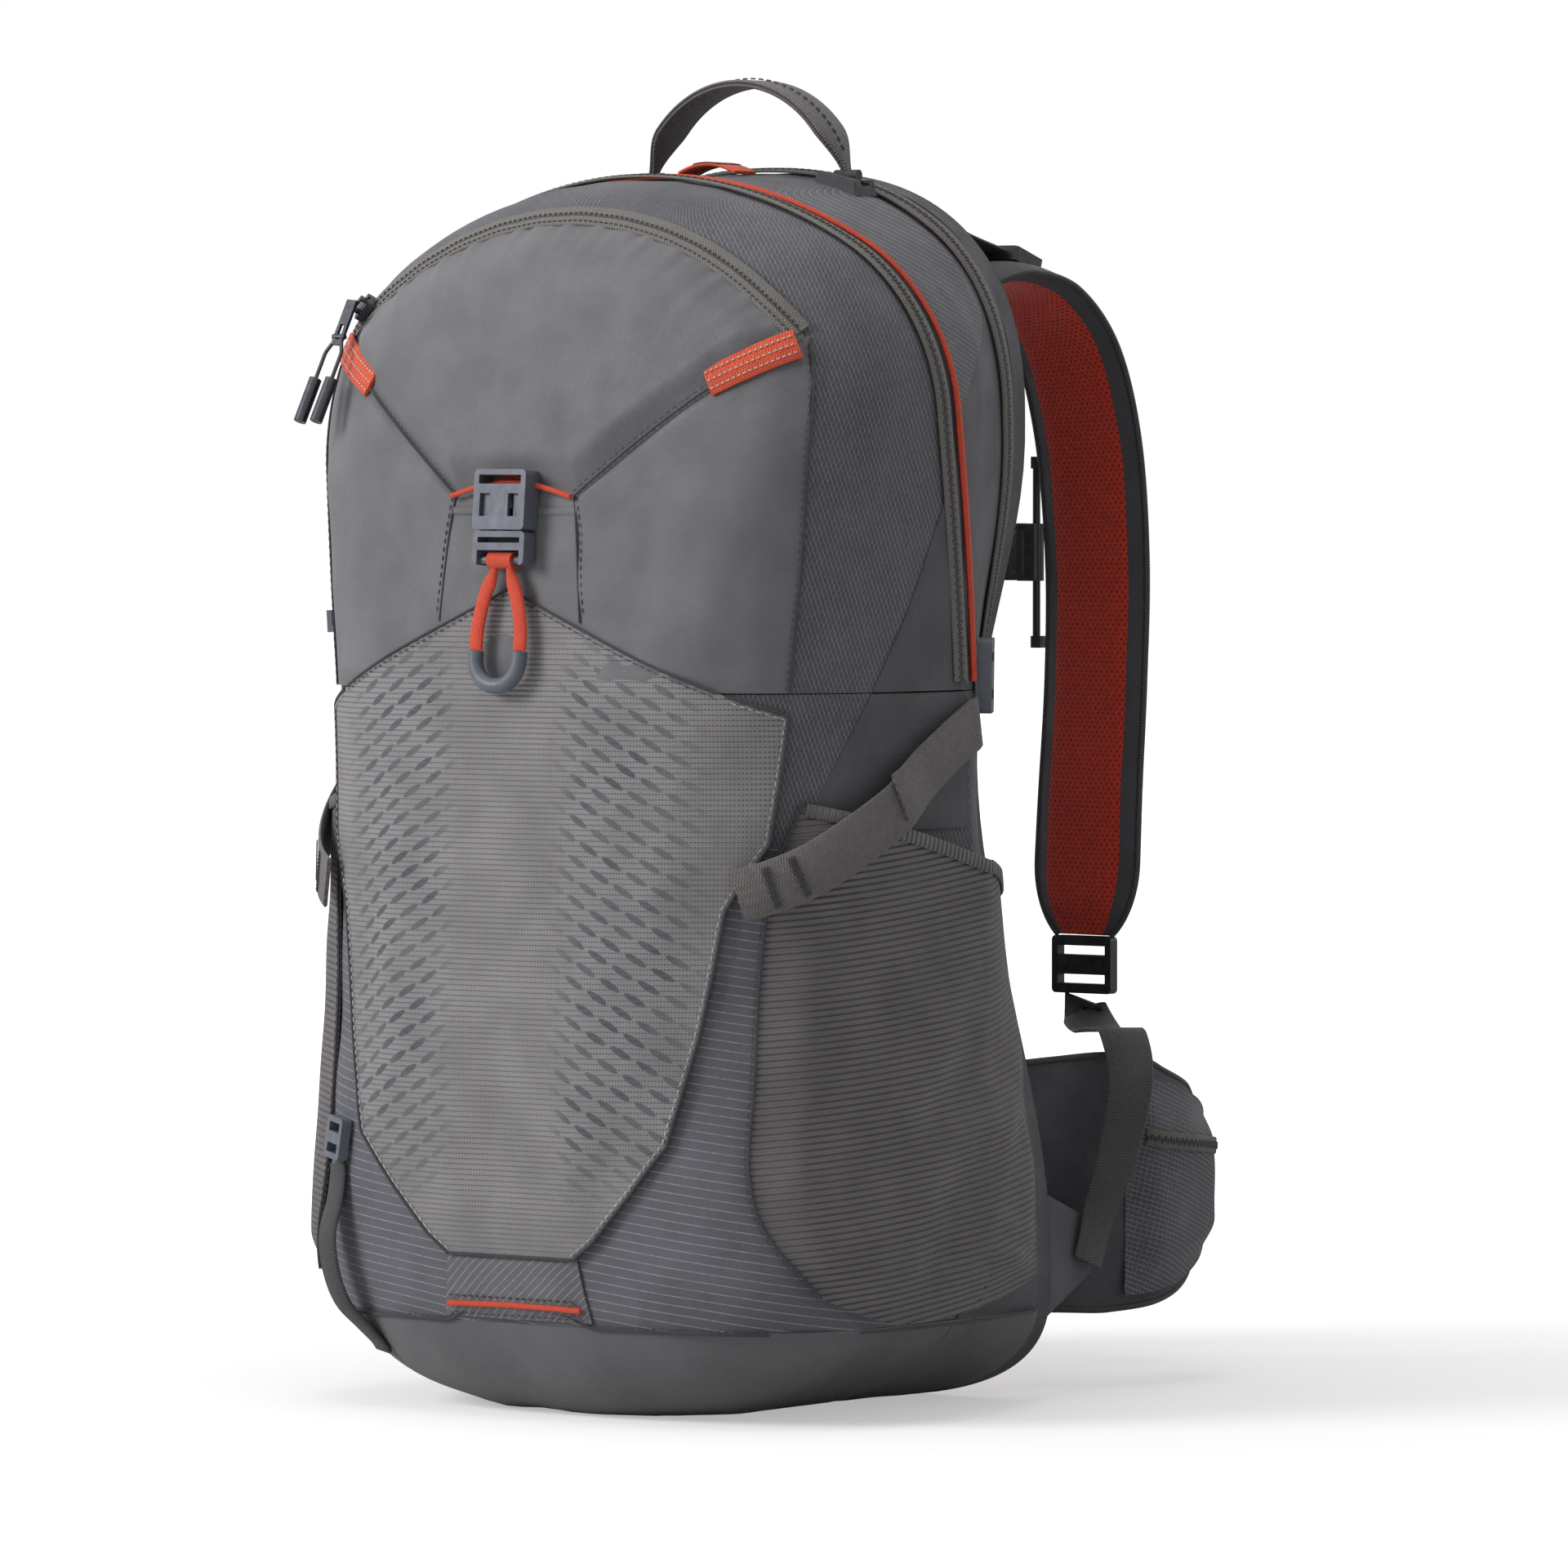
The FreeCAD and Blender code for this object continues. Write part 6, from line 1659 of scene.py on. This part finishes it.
def hip_webbing():
    for side, name in SIDES:
        buckle_x = 0.034 + 0.0243 if side > 0 else -0.046 - 0.0143
        start = np.array([side * 0.091, HARNESS_FACE + 0.1426, BELT_Z])
        end = np.array([buckle_x, 0.2513, BELT_Z])
        middle = np.array([buckle_x + side * 0.013, 0.2468, BELT_Z])
        normal = np.array([side * 0.2, 1.0, 0.0])
        normals = [normal, normal, (0, 1, 0)]
        obj = webbing_line("belt_band_" + name, [start, middle, end], normals, 0.0245, 0.0016)
        finish_mesh(obj, "hip_wing_" + name, dark_webbing, ["hip_webbing_" + name])


def hydration_sleeve():
    """An open-topped pouch against the frame, with an elastic hem."""
    u, v = np.meshgrid(np.linspace(-1, 1, 70), np.linspace(0, 1, 90))
    inside = smooth((1 - np.abs(u)) / 0.16) * smooth(v / 0.06)
    x = SLEEVE_HALF * u
    z = SLEEVE_LOW_Z + SLEEVE_TALL * v
    uvs = stacked(x, 0.3 * v)
    y = SLEEVE_BACK_Y - 0.0009 - (SLEEVE_FULL - 0.0006 * ripple(x, v * 0.3, 95, 0.05)) * inside
    points = stacked(x, y, z)
    forward = np.broadcast_to(np.array([0.0, -1.0, 0.0]), points.shape)
    front = cloth_panel("sleeve_front", points, uvs, CLOTH, forward)
    finish_mesh(front, "bag", lining_cloth, ["hydration_sleeve"])
    rear_panel = cloth_panel("sleeve_back", stacked(x, SLEEVE_BACK_Y - 0.0001, z), uvs, 0.0007, forward)
    finish_mesh(rear_panel, "bag", lining_cloth)
    x = np.linspace(-0.0655, 0.0655, 70)
    fullness = SLEEVE_FULL * smooth((1 - np.abs(x) / SLEEVE_HALF) / 0.16)
    line = stacked(x, SLEEVE_BACK_Y - 0.0012 - fullness, 0.3285)
    hem = ribbon("sleeve_hem", line, np.repeat(np.array([[0.0, -1.0, 0.0]]), 70, axis=0), 0.0090, 0.0012)
    finish_mesh(hem, "bag", dark_webbing)


shoulder_straps()
pad_block("yoke_pad", 0.078, 0.424, 0.462, 0.0054, 0.32, "bag", belt_cloth, ["harness_yoke"])
pad_block("lumbar_cushion", 0.046, 0.034, 0.128, 0.0130, 0.30, "bag", back_mesh, ["lumbar_pad"],
          (0.058, 0.081, 0.104))
load_lifters()
lower_webbing()
strap_gussets()
sternum_bands()
hip_wings()
hip_webbing()
hydration_sleeve()


# Moulded and metal pieces keep their built shape

kept = (
    (blue_plastic, ("front_buckle_female", "front_buckle_male", "pull_tube", "tool_loop_adjuster",
                    "pole_keeper", "compression_buckles")),
    (dark_plastic, ("ladder_locks", "sternum_rails", "sternum_clips", "sternum_buckle_female",
                    "sternum_buckle_male", "hip_buckle_female", "hip_buckle_male")),
    (slider_metal, ("main_zip_slider_upper", "main_zip_slider_lower", "rear_zip_slider", "top_zip_slider",
                    "top_zip_pull")),
    (board_plastic, ("frame_sheet",)),
    (wire_steel, ("frame_wire",)),
)
for material, names in kept:
    for name in names:
        for place in nodes[name].material_slots:
            place.material = material


# Floor, lights and camera

def floor_material():
    """White paper that fades into the white world away from the pack."""
    shade = Shade("floor", 0.9)
    tree = shade.tree
    shade.set("Base Color", (0.80, 0.80, 0.80, 1.0))
    shade.set("Emission Color", WHITE)
    place = tree.nodes.new("ShaderNodeTexCoord")
    length = tree.nodes.new("ShaderNodeVectorMath")
    length.operation = "LENGTH"
    tree.links.new(place.outputs["Object"], length.inputs[0])
    far = Value(tree, length.outputs["Value"]).ramp(*FLOOR_FADE)
    path = tree.nodes.new("ShaderNodeLightPath")
    shade.set("Emission Strength", far * Value(tree, path.outputs["Is Camera Ray"]))
    return shade.material


def floor():
    bm = bmesh.new()
    bmesh.ops.create_circle(bm, cap_ends=True, radius=14.0, segments=96)
    mesh = bpy.data.meshes.new("floor")
    bm.to_mesh(mesh)
    bm.free()
    obj = bpy.data.objects.new("floor", mesh)
    bpy.context.scene.collection.objects.link(obj)
    obj.location = (0.0, 0.0, -0.0004)
    mesh.materials.append(floor_material())


def world():
    """White to the camera and in reflections, dimmer as a light."""
    scene_world = bpy.data.worlds.new("studio")
    scene_world.use_nodes = True
    tree = scene_world.node_tree
    background = tree.nodes["Background"]
    path = tree.nodes.new("ShaderNodeLightPath")
    seen = Value(tree, path.outputs["Is Camera Ray"])
    for ray in ("Is Glossy Ray", "Is Transmission Ray"):
        seen = seen.math("MAXIMUM", Value(tree, path.outputs[ray]))
    background.inputs["Color"].default_value = WHITE
    set_socket(background.inputs["Strength"], seen * (1.0 - AMBIENT) + AMBIENT)
    bpy.context.scene.world = scene_world


def area_light(name, place, target, size, power):
    data = bpy.data.lights.new(name, "AREA")
    data.shape = "DISK"
    data.size = size
    data.energy = power
    obj = bpy.data.objects.new(name, data)
    obj.location = place
    obj.rotation_euler = (Vector(target) - Vector(place)).to_track_quat("-Z", "Y").to_euler()
    bpy.context.scene.collection.objects.link(obj)


floor()
world()
area_light("key", KEY_PLACE, (0.0, 0.0, 0.27), LIGHT_SIZE, KEY_POWER)
area_light("top", TOP_PLACE, (0.0, 0.0, 0.3), LIGHT_SIZE, TOP_POWER)

camera_data = bpy.data.cameras.new("camera")
camera = bpy.data.objects.new("camera", camera_data)
bpy.context.scene.collection.objects.link(camera)
camera.location = CAMERA_PLACE
camera.rotation_euler = (Vector(CAMERA_TARGET) - camera.location).to_track_quat("-Z", "Y").to_euler()
camera_data.lens = CAMERA_LENS
camera_data.sensor_width = 36.0
bpy.context.scene.camera = camera
bpy.context.scene.view_settings.view_transform = "Standard"
